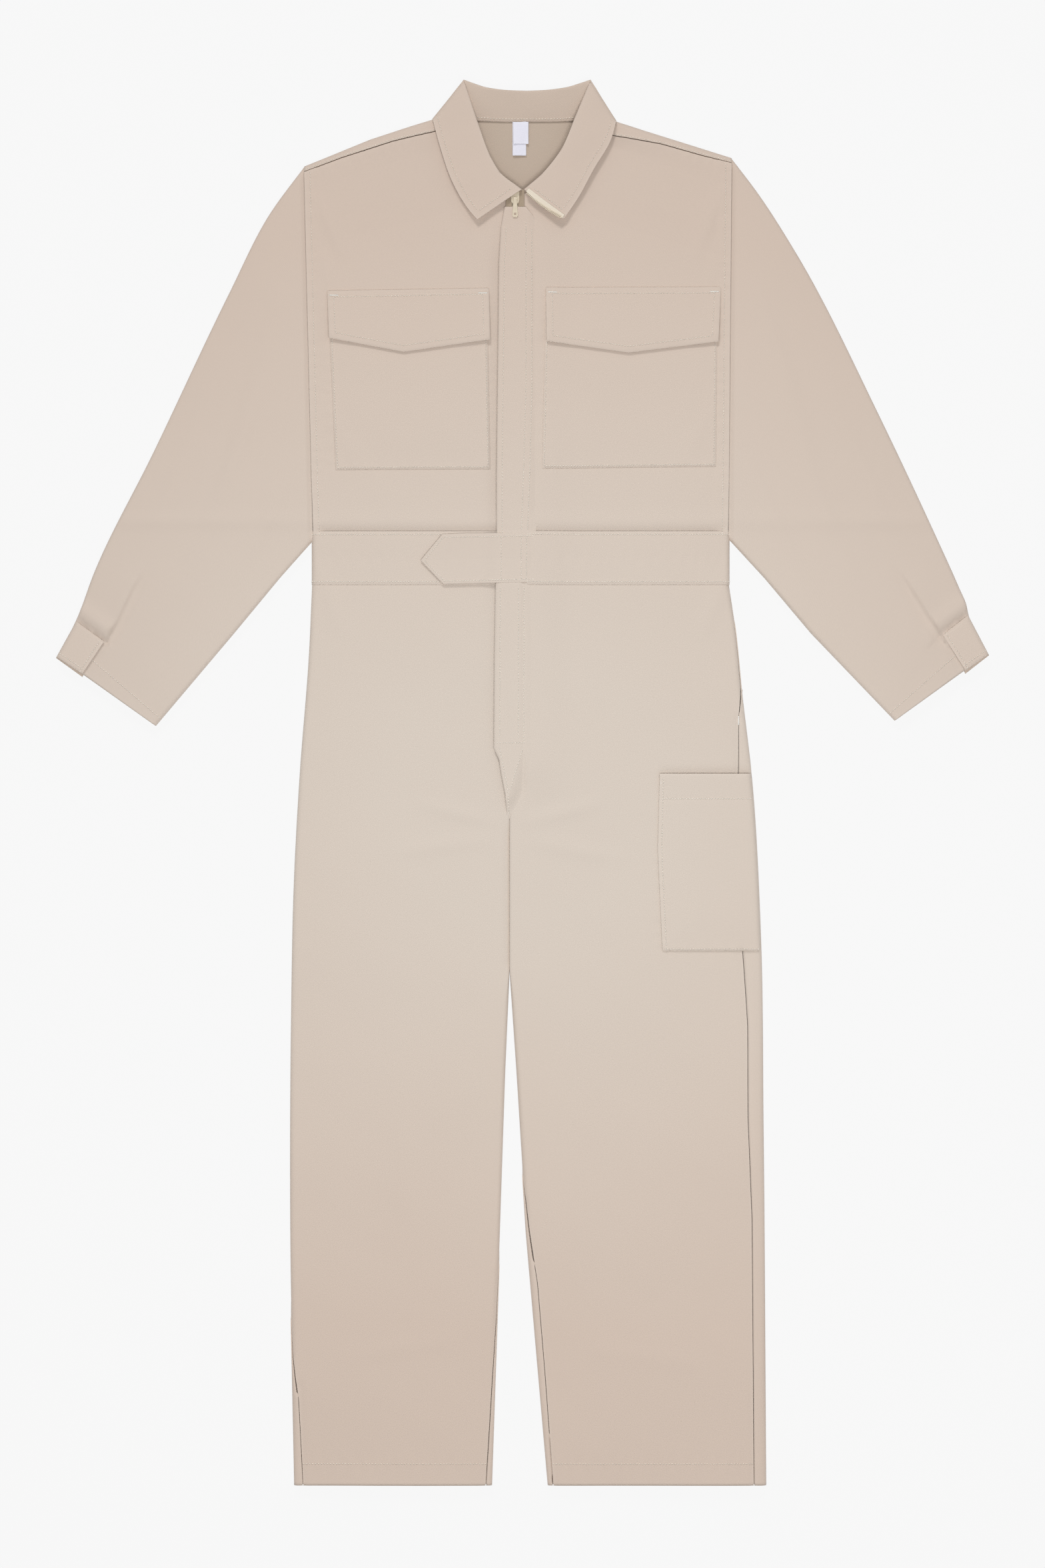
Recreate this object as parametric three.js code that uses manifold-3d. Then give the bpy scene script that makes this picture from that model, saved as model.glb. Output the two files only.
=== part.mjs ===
// Sand-coloured twill coverall, laid flat on its back with its front up.
// Millimetres. +X is the wearer's left, +Y runs to the collar, +Z is up off the floor.
// The origin is on the floor, under the middle of the suit.
import * as THREE from "three";
import { mergeVertices } from "three/addons/utils/BufferGeometryUtils.js";
import Module from "manifold-3d";

// Cloth and clearances
const cloth = 1.6; // one layer of twill with its seam allowances
const hollow = 8; // air between the back and the front as the suit lies
const ease = 0.3; // gap between two pieces that are sewn together
const seam = 0.2; // how far each side stands back from a shared seam line
const trim = 1; // thickness of pockets and flaps
const labelThick = 0.4;
const pastFace = 1; // how far a cutting block goes past the face it cuts

// Levels along the suit, from collar to hem
const collarPeak = 759;
const collarDip = 747;
const neckSeam = 716;
const yokeSeam = 590;
const waistTop = 271;
const waistBottom = 215;
const crotch = -39;
const apex = -202; // where the legs part
const knee = -400;
const hem = -759;

// Zip
const zipMiddle = -8;
const zipTop = 641;
const zipBottom = -10;
const frontEdge = 6; // from the middle of the zip to the edge of each front
const toothWidth = 2.4;
const toothThick = 2;
const chainSplit = 1.2; // space between the two rows of teeth
const webThick = 0.6; // post of the slider, between the two rows
const tapeWidth = 6.8;
const tapeThick = 0.8;
const sliderLength = 14;
const sliderHalf = 4.5;
const sliderPlate = 0.85;
const sliderLip = 0.3; // side gap between the slider's lugs and its pull tab
const sliderMiddle = 633; // place of the closed slider
const pinAbove = 5; // pin of the pull tab, above the slider's lower end
const pinRadius = 0.45;
const eyeRadius = 1;
const tabLength = 20.5;
const tabNarrow = 3.2;
const tabWide = 6;
const tabThick = 1;
const stopLength = 4;
const chainHalf = chainSplit / 2 + toothWidth;
const tapeEdge = chainHalf + ease + tapeWidth; // from the middle of the zip

// Collar and yoke
const collarTape = { start: 4, end: 2, inset: 0.5, width: 5 }; // along the left leaf's front edge
const rimRise = 2; // least rise of the collar's rim over the neck seam
const yokeCut = 30; // depth of the cut that keeps the shoulder wraps clear of the yoke

// Overlapping front
const placket = { outer: -25, inner: 11.5, top: 610.5 };
const fly = { outer: -31.3, inner: zipMiddle + tapeEdge + ease + cloth, bevel: 37 };
const waistTab = { hinge: 11.5, tip: -110, corner: -87, slopeFrom: -24, slopeTo: -38 };
const snap = { x: -94, socket: 5, stud: 4, hole: 1.7, nib: 1.3, thick: 1, disc: 0.8 };

// Chest pockets
const chest = { hinge: 532, flapDrop: 55, pointDrop: 68, pocketDrop: 193, flare: 8 };

// Everything that differs from side to side. The outlines run from the collar down.
const right = {
  name: "right",
  out: -1,
  peak: [-63.5, collarPeak],
  roll: [[-49, 715], [-34.6, 676], [-24.5, 659], [-0.7, 640.4]],
  leafTip: [-49, 608],
  leafEdge: [[-57.5, 618], [-75, 647], [-89, 686.5]],
  neckCorner: [-97.5, 718],
  shoulder: [-165, 696],
  shoulderTip: [-236, 667],
  forwardSeam: [[-94.5, 704], [-196, 675], [-236, 660]],
  neckEdge: [[-70, 690], [-48, 664], [-30, 650]],
  underarm: [-227.5, 259],
  sleeve: [[-273.5, 615], [-317.5, 529], [-400, 356], [-464, 226]],
  bandTop: [-482, 175.3],
  bandInner: [-451, 152.3],
  bandLow: [-474.7, 117],
  bandCorner: [-504, 136.4],
  hemCorner: [-396.5, 61.6],
  underSleeve: [-312, 161.6],
  waist: -227,
  leg: [[-235, 97], [-245, crotch], [-250, -162]],
  kneeOut: -252,
  kneeIn: -21.6,
  hemOut: -246,
  hemIn: -33.8,
  chestIn: -36,
  chestOut: -211,
  hipBag: [-214, -112],
};
const left = {
  name: "left",
  out: 1,
  peak: [73.5, collarPeak],
  roll: [[58.3, 722.5], [41.8, 683.6], [20.9, 657], [1.4, 640.4]],
  leafTip: [44.6, 608.8],
  leafEdge: [[59.8, 631], [77, 662.4], [96, 695.5]],
  neckCorner: [101.5, 716],
  shoulder: [131, 706],
  shoulderTip: [226, 676],
  forwardSeam: [[98.6, 699.5], [192, 678], [226, 669.5]],
  neckEdge: [[68, 696], [50, 674], [30, 651]],
  underarm: [223.7, 261],
  sleeve: [[255, 637], [296.5, 572], [385, 399], [446, 269.6], [476, 205]],
  bandTop: [481.5, 181.8],
  bandInner: [452.7, 159.5],
  bandLow: [477.8, 120.6],
  bandCorner: [504, 139.3],
  hemCorner: [402.5, 67.3],
  underSleeve: [312, 161.6],
  waist: 223.2,
  leg: [[237, 97], [249, crotch], [257.5, -162]],
  kneeOut: 260,
  kneeIn: -1.4,
  hemOut: 262.8,
  hemIn: 28,
  chestIn: 25,
  chestOut: 214,
  hipBag: [110, 220],
};
const sides = [right, left];
const seatSeam = -13.7; // middle seam between the two legs

// Tool pocket on the wearer's left thigh
const tool = { inTop: 147, inLow: 149.8, outTop: 246.5, outLow: 256.5, top: 10, low: -181 };

// Neck labels
const brandLabel = { from: -10, to: 6.5, drop: 24 };
const careLabel = { from: -10.8, to: 4, drop: 37 };

// Heights above the floor, bottom to top
const backTop = cloth;
const yokeLow = cloth + ease; // the yoke laps over the back and over the turned-down collar
const frontLow = cloth + hollow;
const frontTop = frontLow + cloth;
const wallTop = frontLow - ease;
const sewnOn = frontTop + ease; // underside of whatever is sewn on the front
const flapLow = sewnOn + trim + ease;
const chainLow = sewnOn + tapeThick / 2 - toothThick / 2;
const chainTop = chainLow + toothThick;
const sliderLow = chainLow - ease - sliderPlate;
const sliderTop = chainTop + ease + sliderPlate;
const pinHeight = sliderTop + ease + eyeRadius;
const coverLow = pinHeight + eyeRadius + 0.4; // clears the slider that runs beneath it
const coverTop = coverLow + cloth;
const tabFlat = sewnOn + snap.thick + ease + snap.disc + ease;

// Finishes
const twill = { color: 0xd3c4b5, roughness: 0.95, metalness: 0 };
const twillInside = { color: 0xc6b5a4, roughness: 0.95, metalness: 0 };
const tape = { color: 0xe9dcc9, roughness: 0.8, metalness: 0 };
const enamel = { color: 0xdccdb4, roughness: 0.4, metalness: 0.2 };
const steel = { color: 0xb9b6b0, roughness: 0.35, metalness: 1 };
const satin = { color: 0xe9e8f2, roughness: 0.6, metalness: 0 };

const wasm = await Module();
wasm.setup();

// Turns a closed geometry into a solid that can be joined and cut.
function solid(geometry) {
  const bare = geometry.index ? geometry.toNonIndexed() : geometry.clone();
  bare.deleteAttribute("normal");
  bare.deleteAttribute("uv");
  const merged = mergeVertices(bare, 1e-4);
  return new wasm.Manifold(
    new wasm.Mesh({
      numProp: 3,
      vertProperties: merged.attributes.position.array,
      triVerts: new Uint32Array(merged.index.array),
    }),
  );
}

// Turns a solid back into a geometry.
function geometryOf(shape) {
  const mesh = shape.getMesh();
  const indexed = new THREE.BufferGeometry();
  indexed.setAttribute("position", new THREE.BufferAttribute(mesh.vertProperties, 3));
  indexed.setIndex(new THREE.BufferAttribute(mesh.triVerts, 1));
  const flat = indexed.toNonIndexed();
  flat.computeVertexNormals();
  return flat;
}

function outlineShape(points) {
  return new THREE.Shape(points.map(([x, y]) => new THREE.Vector2(x, y)));
}

// A flat piece of the given outline, between two heights.
function layer(points, low, high) {
  const settings = { depth: high - low, bevelEnabled: false };
  return new THREE.ExtrudeGeometry(outlineShape(points), settings).translate(0, 0, low);
}

// A cross-section drawn in X and Z, carried along Y between two levels.
function carried(section, top, bottom) {
  const settings = { depth: top - bottom, bevelEnabled: false };
  const geometry = new THREE.ExtrudeGeometry(outlineShape(section), settings);
  return geometry.rotateX(Math.PI / 2).translate(0, top, 0);
}

function block(from, to) {
  const size = to.map((value, i) => value - from[i]);
  const middle = to.map((value, i) => (value + from[i]) / 2);
  return new THREE.BoxGeometry(...size).translate(...middle);
}

// Moves each edge of an outline inwards by its own shift, or outwards where it is negative.
function shiftEdges(points, shifts) {
  const count = points.length;
  const turn = Math.sign(THREE.ShapeUtils.area(points.map(([x, y]) => ({ x, y }))));
  const lines = points.map((point, i) => {
    const next = points[(i + 1) % count];
    const along = new THREE.Vector2(next[0] - point[0], next[1] - point[1]).normalize();
    const inward = new THREE.Vector2(-along.y, along.x).multiplyScalar(turn * shifts[i]);
    return { at: new THREE.Vector2(...point).add(inward), along };
  });
  return lines.flatMap((line, i) => {
    const last = (i + count - 1) % count;
    const before = lines[last];
    const bend = before.along.cross(line.along);
    if (Math.abs(bend) < 0.02) {
      if (shifts[last] === shifts[i]) return [[line.at.x, line.at.y]];
      const step = [points[i][0] - points[last][0], points[i][1] - points[last][1]];
      return [[before.at.x + step[0], before.at.y + step[1]], [line.at.x, line.at.y]];
    }
    const reach = line.at.clone().sub(before.at).cross(line.along) / bend;
    const corner = before.at.clone().addScaledVector(before.along, reach);
    return [[corner.x, corner.y]];
  });
}

// Half of a cloth tube: a floor of one layer with a wall along each edge marked "wall".
function trough(points, edges, low, high) {
  const shifts = edges.map((edge) => (edge === "wall" ? cloth : -1));
  const room = layer(shiftEdges(points, shifts), low + cloth, high + pastFace);
  return solid(layer(points, low, high)).subtract(solid(room));
}

// The band between two lines that run beside a path, at two distances from it.
function bandBeside(path, near, far) {
  const beside = (distance) =>
    path.map(([x, y], i) => {
      const before = path[Math.max(i - 1, 0)];
      const after = path[Math.min(i + 1, path.length - 1)];
      const along = new THREE.Vector2(after[0] - before[0], after[1] - before[1]).normalize();
      return [x + along.y * distance, y - along.x * distance];
    });
  return [...beside(near), ...beside(far).reverse()];
}

const suit = new THREE.Group();

function add(name, shape, finish) {
  const geometry = shape.isBufferGeometry ? shape : geometryOf(shape);
  const mesh = new THREE.Mesh(geometry, new THREE.MeshStandardMaterial(finish));
  mesh.name = name;
  suit.add(mesh);
}

// Points of one side, moved along X away from or towards the middle
const moveOut = (side, [x, y], by) => [x + side.out * by, y];
const lower = ([x, y], by) => [x, y - by];

function buildBack() {
  const yokeOutline = [
    moveOut(right, right.shoulderTip, -seam),
    right.shoulder,
    right.neckCorner,
    left.neckCorner,
    left.shoulder,
    moveOut(left, left.shoulderTip, -seam),
    [left.underarm[0], yokeSeam - 10],
    [right.underarm[0], yokeSeam - 10],
  ];
  const yokeEdges = ["wall", "wall", "open", "wall", "wall", "open", "open", "open"];
  const strips = sides.map((side) => {
    const [atNeck, between, atTip] = side.forwardSeam;
    const tip = moveOut(side, side.shoulderTip, -seam);
    const end = moveOut(side, atTip, -seam);
    const edge = [tip, side.shoulder, side.neckCorner, atNeck, between, end];
    return solid(layer(edge, wallTop - cloth, frontTop)).subtract(
      solid(layer([lower(tip, cloth), lower(side.shoulder, cloth), lower(side.neckCorner, cloth),
        lower(atNeck, yokeCut), lower(end, yokeCut)], 0, frontLow)),
    );
  });
  const yoke = trough(yokeOutline, yokeEdges, yokeLow, frontLow).add(strips[0]).add(strips[1]);
  add("back_yoke", yoke, twill);

  const corner = (side, level) => {
    const share = (level - side.underarm[1]) / (side.shoulderTip[1] - side.underarm[1]);
    const x = side.underarm[0] + share * (side.shoulderTip[0] - side.underarm[0]);
    return [x - side.out * 3 * seam, level];
  };
  const backOutline = [
    corner(right, yokeSeam),
    corner(left, yokeSeam),
    corner(left, waistTop + ease),
    corner(right, waistTop + ease),
  ];
  add("back_bodice", layer(backOutline, 0, backTop), twill);

  const bandOutline = [
    [right.waist, waistTop],
    [right.waist, waistBottom],
    [left.waist, waistBottom],
    [left.waist, waistTop],
  ];
  add("back_waistband", trough(bandOutline, ["wall", "open", "wall", "open"], 0, wallTop), twill);
}

function buildFronts() {
  for (const side of sides) {
    const [atNeck, between, atTip] = side.forwardSeam;
    const middle = zipMiddle + side.out * frontEdge;
    const armhole = moveOut(side, atTip, -2 * seam);
    const outline = [
      lower(armhole, 2 * ease),
      lower(between, 2 * ease),
      lower(atNeck, 2 * ease),
      ...side.neckEdge,
      [middle, zipTop],
      [middle, waistTop + ease],
      [side.waist, waistTop + ease],
    ];
    add(`front_bodice_${side.name}`, layer(outline, frontLow, frontTop), twill);
    const band = [
      [side.waist, waistTop],
      [middle, waistTop],
      [middle, waistBottom],
      [side.waist, waistBottom],
    ];
    add(`waistband_${side.name}`, layer(band, frontLow, frontTop), twill);
  }
}

function buildSleeves() {
  for (const side of sides) {
    const top = moveOut(side, side.shoulderTip, seam);
    const bottom = moveOut(side, side.underarm, seam);
    const outline = [
      top,
      ...side.sleeve,
      side.bandTop,
      side.bandInner,
      side.bandLow,
      side.hemCorner,
      side.underSleeve,
      bottom,
    ];
    const outer = side.sleeve.map(() => "wall");
    const edges = ["wall", ...outer, "open", "open", "open", "wall", "wall", "open"];
    add(`sleeve_back_${side.name}`, trough(outline, edges, 0, wallTop), twill);
    add(`sleeve_front_${side.name}`, layer(outline, frontLow, frontTop), twill);

    const quad = [side.bandTop, side.bandInner, side.bandLow, side.bandCorner];
    const clear = shiftEdges(quad, [ease, ease, 0, 0]);
    const room = shiftEdges(quad, [-1, -1, -1, cloth]);
    const ring = solid(layer(clear, 0, frontTop + trim)).subtract(
      solid(layer(room, cloth, frontLow + trim)),
    );
    add(`cuff_band_${side.name}`, ring, twill);
  }
}

function buildLegs() {
  for (const side of sides) {
    const inner = seatSeam + side.out * seam;
    const outerEdge = [[side.waist, waistBottom - ease], ...side.leg, [side.kneeOut, knee + seam]];
    const innerEdge = [[side.kneeIn, knee + seam], [inner, apex], [inner, crotch]];
    const seat = [...outerEdge, ...innerEdge, [inner, waistBottom - ease]];
    const walls = outerEdge.slice(1).map(() => "wall");
    const edges = [...walls, "open", "wall", "wall", "open", "open"];
    add(`back_leg_upper_${side.name}`, trough(seat, edges, 0, wallTop), twill);

    const middle = zipMiddle + side.out * frontEdge;
    const low = zipBottom - stopLength - 2 * ease;
    const front = [...outerEdge, ...innerEdge, [inner, low], [middle, low],
      [middle, waistBottom - ease]];
    add(`front_leg_upper_${side.name}`, layer(front, frontLow, frontTop), twill);

    const shank = [
      [side.kneeOut, knee - seam],
      [side.hemOut, hem],
      [side.hemIn, hem],
      [side.kneeIn, knee - seam],
    ];
    const shankEdges = ["wall", "open", "wall", "open"];
    add(`back_leg_lower_${side.name}`, trough(shank, shankEdges, 0, wallTop), twill);
    add(`front_leg_lower_${side.name}`, layer(shank, frontLow, frontTop), twill);

    const [bagOne, bagTwo] = side.hipBag;
    const bag = [
      [bagOne, waistBottom - 20],
      [bagTwo, waistBottom - 20],
      [bagTwo, crotch + 20],
      [bagOne, crotch + 20],
    ];
    add(`hip_pocket_bag_${side.name}`, layer(bag, wallTop - trim, wallTop), twillInside);
  }
  const pocket = [
    [tool.inTop, tool.top],
    [tool.outTop, tool.top],
    [tool.outLow, tool.low],
    [tool.inLow, tool.low],
  ];
  add("tool_pocket", layer(pocket, sewnOn, sewnOn + trim), twill);
}

function buildCollar() {
  const topEdge = [
    right.neckCorner,
    right.peak,
    [(right.peak[0] + left.peak[0]) / 2, collarDip],
    left.peak,
    left.neckCorner,
  ];
  const rim = topEdge.map((point) => [point[0], Math.max(point[1], neckSeam + rimRise)]);
  const fallEdges = ["wall", "open", "open", "wall", "open"];
  const fall = trough(rim, fallEdges, 0, coverLow - ease);
  add("collar_fall_back", fall, twill);

  const inset = 6; // the neck band lies inside the turned-down collar
  const stand = [
    [right.roll[0][0] - 1, neckSeam + 2],
    lower(moveOut(right, right.peak, -inset), inset),
    [(right.peak[0] + left.peak[0]) / 2, collarDip - 2],
    lower(moveOut(left, left.peak, -inset), inset),
    [left.roll[0][0] + 1, neckSeam + 2],
  ];
  const standEdges = ["wall", "open", "open", "wall", "open"];
  add("collar_stand_back", trough(stand, standEdges, yokeLow, coverLow - ease), twillInside);

  for (const side of sides) {
    const leaf = [
      side.peak,
      ...side.roll,
      side.leafTip,
      ...side.leafEdge,
      side.neckCorner,
    ];
    add(`collar_leaf_${side.name}`, layer(leaf, coverLow, coverTop), twill);
    const path = [...side.roll];
    path[0] = [path[0][0] - side.out * 2, neckSeam - 4];
    path[path.length - 1] = [zipMiddle + side.out * (sliderHalf + 4), zipTop + 7];
    const strip = bandBeside(path, side.out * -1, side.out * -14);
    add(`collar_stand_${side.name}`, layer(strip, sewnOn, coverLow - ease), twillInside);
  }

  const along = new THREE.Vector2(
    left.leafTip[0] - left.roll.at(-1)[0],
    left.leafTip[1] - left.roll.at(-1)[1],
  ).normalize();
  const edgePoint = (distance) => [
    left.roll.at(-1)[0] + along.x * distance,
    left.roll.at(-1)[1] + along.y * distance,
  ];
  const edgeLength = Math.hypot(
    left.leafTip[0] - left.roll.at(-1)[0],
    left.leafTip[1] - left.roll.at(-1)[1],
  );
  const edging = bandBeside([edgePoint(collarTape.start), edgePoint(edgeLength - collarTape.end)],
    -collarTape.inset, -collarTape.width);
  add("collar_zip_tape", layer(edging, coverTop + ease, coverTop + ease + tapeThick), tape);
}

function buildZip() {
  for (const side of sides) {
    const from = zipMiddle + side.out * (chainSplit / 2);
    const to = from + side.out * toothWidth;
    const row = [
      [Math.min(from, to), zipBottom, chainLow],
      [Math.max(from, to), zipTop, chainTop],
    ];
    add(`zip_teeth_${side.name}`, block(...row), enamel);
    const tapeFrom = to + side.out * ease;
    const tapeTo = tapeFrom + side.out * tapeWidth;
    const strip = [
      [Math.min(tapeFrom, tapeTo), zipBottom - stopLength - ease, sewnOn],
      [Math.max(tapeFrom, tapeTo), zipTop, sewnOn + tapeThick],
    ];
    add(`zip_tape_${side.name}`, block(...strip), tape);
  }
  const stop = block(
    [zipMiddle - chainHalf, zipBottom - stopLength - ease, chainLow],
    [zipMiddle + chainHalf, zipBottom - ease, chainTop],
  );
  add("zip_bottom_stop", stop, enamel);

  // The slider is two plates and a post between the rows, with lips that guide the teeth.
  const low = sliderMiddle - sliderLength / 2;
  const high = sliderMiddle + sliderLength / 2;
  const plate = [
    [zipMiddle - sliderHalf + 1, low],
    [zipMiddle + sliderHalf - 1, low],
    [zipMiddle + sliderHalf, low + 3],
    [zipMiddle + sliderHalf, high - 2],
    [zipMiddle + sliderHalf - 2, high],
    [zipMiddle - sliderHalf + 2, high],
    [zipMiddle - sliderHalf, high - 2],
    [zipMiddle - sliderHalf, low + 3],
  ];
  let slider = solid(layer(plate, sliderLow, sliderTop));
  const chainRoom = chainHalf + ease;
  const slotLow = sewnOn - ease;
  const slotHigh = sewnOn + tapeThick + ease;
  for (const way of [-1, 1]) {
    const inner = zipMiddle + (way * webThick) / 2;
    const wide = zipMiddle + way * chainRoom;
    const past = zipMiddle + way * (sliderHalf + pastFace);
    const rows = block(
      [Math.min(inner, wide), low - 1, chainLow - ease],
      [Math.max(inner, wide), high + pastFace, chainTop + ease],
    );
    const slot = block(
      [Math.min(inner, past), low - 1, slotLow],
      [Math.max(inner, past), high + pastFace, slotHigh],
    );
    slider = slider.subtract(solid(rows)).subtract(solid(slot));
  }
  const pinLevel = low + pinAbove;
  const lugGap = tabNarrow / 2 + sliderLip;
  const lugThick = 0.9;
  for (const way of [-1, 1]) {
    const near = zipMiddle + way * lugGap;
    const far = near + way * lugThick;
    const lug = block(
      [Math.min(near, far), pinLevel - 1, sliderTop - sliderPlate / 2],
      [Math.max(near, far), pinLevel + 1, pinHeight + eyeRadius],
    );
    slider = slider.add(solid(lug));
  }
  const pin = new THREE.CylinderGeometry(pinRadius, pinRadius, 2 * lugGap + lugThick, 16);
  pin.rotateZ(Math.PI / 2).translate(zipMiddle, pinLevel, pinHeight);
  add("zip_slider", slider.add(solid(pin)), enamel);

  // Pull tab: an eye round the pin and a tapered plate with a square hole near its end
  const tip = pinLevel - tabLength;
  const plateOutline = [
    [zipMiddle - tabNarrow / 2, pinLevel],
    [zipMiddle - tabWide / 2, tip + 2],
    [zipMiddle - tabWide / 2 + 1, tip],
    [zipMiddle + tabWide / 2 - 1, tip],
    [zipMiddle + tabWide / 2, tip + 2],
    [zipMiddle + tabNarrow / 2, pinLevel],
  ];
  const eye = new THREE.CylinderGeometry(eyeRadius, eyeRadius, tabNarrow, 24);
  const bore = new THREE.CylinderGeometry(pinRadius + 0.2, pinRadius + 0.2, tabNarrow + 2, 16);
  for (const round of [eye, bore]) {
    round.rotateZ(Math.PI / 2).translate(zipMiddle, pinLevel, pinHeight);
  }
  const holeHalf = 1.1;
  const hole = block(
    [zipMiddle - holeHalf, tip + 2.4, pinHeight - tabThick],
    [zipMiddle + holeHalf, tip + 2.4 + 2 * holeHalf, pinHeight + tabThick],
  );
  const tab = solid(layer(plateOutline, pinHeight - tabThick / 2, pinHeight + tabThick / 2))
    .add(solid(eye))
    .subtract(solid(bore))
    .subtract(solid(hole));
  add("pull_tab", tab, enamel);
}

function buildCovers() {
  // Each cover is a plate over the zip with a folded edge that comes down to the left front.
  const cover = (outer, inner) => [
    [inner, sewnOn],
    [inner, coverTop],
    [outer, coverTop],
    [outer, coverLow],
    [inner - cloth, coverLow],
    [inner - cloth, sewnOn],
  ];
  const upper = carried(cover(placket.outer, placket.inner), placket.top, waistTop + ease);
  add("placket", upper, twill);

  const end = crotch + 7;
  const plan = [
    [fly.outer, waistBottom],
    [fly.outer, fly.bevel],
    [fly.outer + 6, fly.bevel - 12],
    [seatSeam - 4, end],
    [seatSeam, end],
    [fly.inner + 1, fly.bevel],
    [fly.inner + 1, waistBottom],
  ];
  const section = carried(cover(fly.outer, fly.inner), waistBottom - ease, end);
  add("fly", solid(section).intersect(solid(layer(plan, 0, coverTop + pastFace))), twill);

  const { hinge, tip, corner, slopeFrom, slopeTo } = waistTab;
  const tabSection = [
    [hinge, sewnOn],
    [hinge, coverTop],
    [slopeFrom, coverTop],
    [slopeTo, tabFlat + cloth],
    [tip - 1, tabFlat + cloth],
    [tip - 1, tabFlat],
    [slopeTo, tabFlat],
    [slopeFrom, coverLow],
    [hinge - cloth, coverLow],
    [hinge - cloth, sewnOn],
  ];
  const middle = (waistTop + waistBottom) / 2;
  const pointed = [
    [hinge + 1, waistTop - ease],
    [corner, waistTop - ease],
    [tip, middle],
    [corner, waistBottom + ease],
    [hinge + 1, waistBottom + ease],
  ];
  const tabBody = solid(carried(tabSection, waistTop, waistBottom));
  add("waist_tab", tabBody.intersect(solid(layer(pointed, 0, coverTop + pastFace))), twill);

  // Press stud between the waistband and the end of its tab
  const turned = (profile) => {
    const points = profile.map(([radius, height]) => new THREE.Vector2(radius, height));
    return new THREE.LatheGeometry(points, 32).rotateX(Math.PI / 2).translate(snap.x, middle, 0);
  };
  const socketTop = sewnOn + snap.thick;
  const socket = turned([
    [snap.hole, sewnOn],
    [snap.socket, sewnOn],
    [snap.socket, socketTop],
    [snap.hole, socketTop],
    [snap.hole, sewnOn],
  ]);
  add("waist_snap_socket", socket, steel);
  const discLow = socketTop + ease;
  const stud = turned([
    [0, sewnOn + ease],
    [snap.nib, sewnOn + ease],
    [snap.nib, discLow],
    [snap.stud, discLow],
    [snap.stud, discLow + snap.disc],
    [0, discLow + snap.disc],
  ]);
  add("waist_snap_stud", stud, steel);
}

function buildChest() {
  for (const side of sides) {
    const { chestIn, chestOut } = side;
    const lowLevel = chest.hinge - chest.flapDrop;
    const point = [(chestIn + chestOut) / 2, chest.hinge - chest.pointDrop];
    const flap = [
      [chestIn, chest.hinge],
      [chestIn, lowLevel],
      point,
      [chestOut, lowLevel],
      [chestOut, chest.hinge],
    ];
    add(`chest_flap_${side.name}`, layer(flap, flapLow, flapLow + trim), twill);
    const pocketTop = chest.hinge - 4;
    const pocketLow = chest.hinge - chest.pocketDrop;
    const wideIn = chestIn + side.out * 1;
    const wideOut = chestOut - side.out * 1;
    const pocket = [
      [wideIn, pocketTop],
      [wideIn, pocketLow],
      [wideOut - side.out * chest.flare, pocketLow],
      [wideOut, pocketTop],
    ];
    add(`chest_pocket_${side.name}`, layer(pocket, sewnOn, sewnOn + trim), twill);
  }
}

function buildLabels() {
  const yokeTop = yokeLow + cloth;
  const neck = neckSeam - 1;
  const labels = { care_label: careLabel, brand_label: brandLabel };
  Object.entries(labels).forEach(([name, label], i) => {
    const low = yokeTop + ease + i * (labelThick + ease);
    const outline = [
      [label.from, neck],
      [label.to, neck],
      [label.to, neck - label.drop],
      [label.from, neck - label.drop],
    ];
    add(name, layer(outline, low, low + labelThick), satin);
  });
}

buildBack();
buildFronts();
buildSleeves();
buildLegs();
buildCollar();
buildZip();
buildCovers();
buildChest();
buildLabels();

export default suit;
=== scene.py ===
import math
import bpy
import bmesh
import numpy as np
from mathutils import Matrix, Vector


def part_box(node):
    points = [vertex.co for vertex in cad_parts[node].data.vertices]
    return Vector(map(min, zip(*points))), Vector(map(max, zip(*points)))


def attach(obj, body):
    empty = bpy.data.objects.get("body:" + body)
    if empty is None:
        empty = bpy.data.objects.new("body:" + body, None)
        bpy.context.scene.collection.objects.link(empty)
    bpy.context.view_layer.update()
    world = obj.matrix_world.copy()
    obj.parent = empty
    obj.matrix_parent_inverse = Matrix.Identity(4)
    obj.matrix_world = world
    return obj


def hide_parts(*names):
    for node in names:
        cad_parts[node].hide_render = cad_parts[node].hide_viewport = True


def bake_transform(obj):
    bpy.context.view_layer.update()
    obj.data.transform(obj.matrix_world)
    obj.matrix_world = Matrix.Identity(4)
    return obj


# A sand twill coverall laid flat on its back. Plans are in millimetres in the frame's own
# directions (X to the wearer's left, Y to the collar, Z up) and go into the meshes in metres.
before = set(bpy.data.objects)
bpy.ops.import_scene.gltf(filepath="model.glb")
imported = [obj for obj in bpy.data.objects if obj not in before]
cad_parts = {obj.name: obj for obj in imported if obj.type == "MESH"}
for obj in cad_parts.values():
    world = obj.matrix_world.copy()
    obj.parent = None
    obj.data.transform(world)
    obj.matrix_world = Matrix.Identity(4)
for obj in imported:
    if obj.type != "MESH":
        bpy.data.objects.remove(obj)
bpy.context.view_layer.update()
mm = 0.001
scene = bpy.context.scene


def level(node, high=True):
    # Height of a frame node's upper or lower face, in millimetres.
    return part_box(node)[1 if high else 0].z / mm


frontHeight = level("front_bodice_left")
coverHeight = level("placket")
restGap = 0.4                          # under a tube's lowest face
tubeHigh = frontHeight - restGap

# Camera and light
view = {"lens": 85.0, "sensor": 36.0, "tall": 1.6934, "aimX": 0.0, "aimY": -0.0011}


def addObject(name, data, place=(0, 0, 0)):
    made = bpy.data.objects.new(name, data)
    made.location = place
    scene.collection.objects.link(made)
    return made


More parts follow.
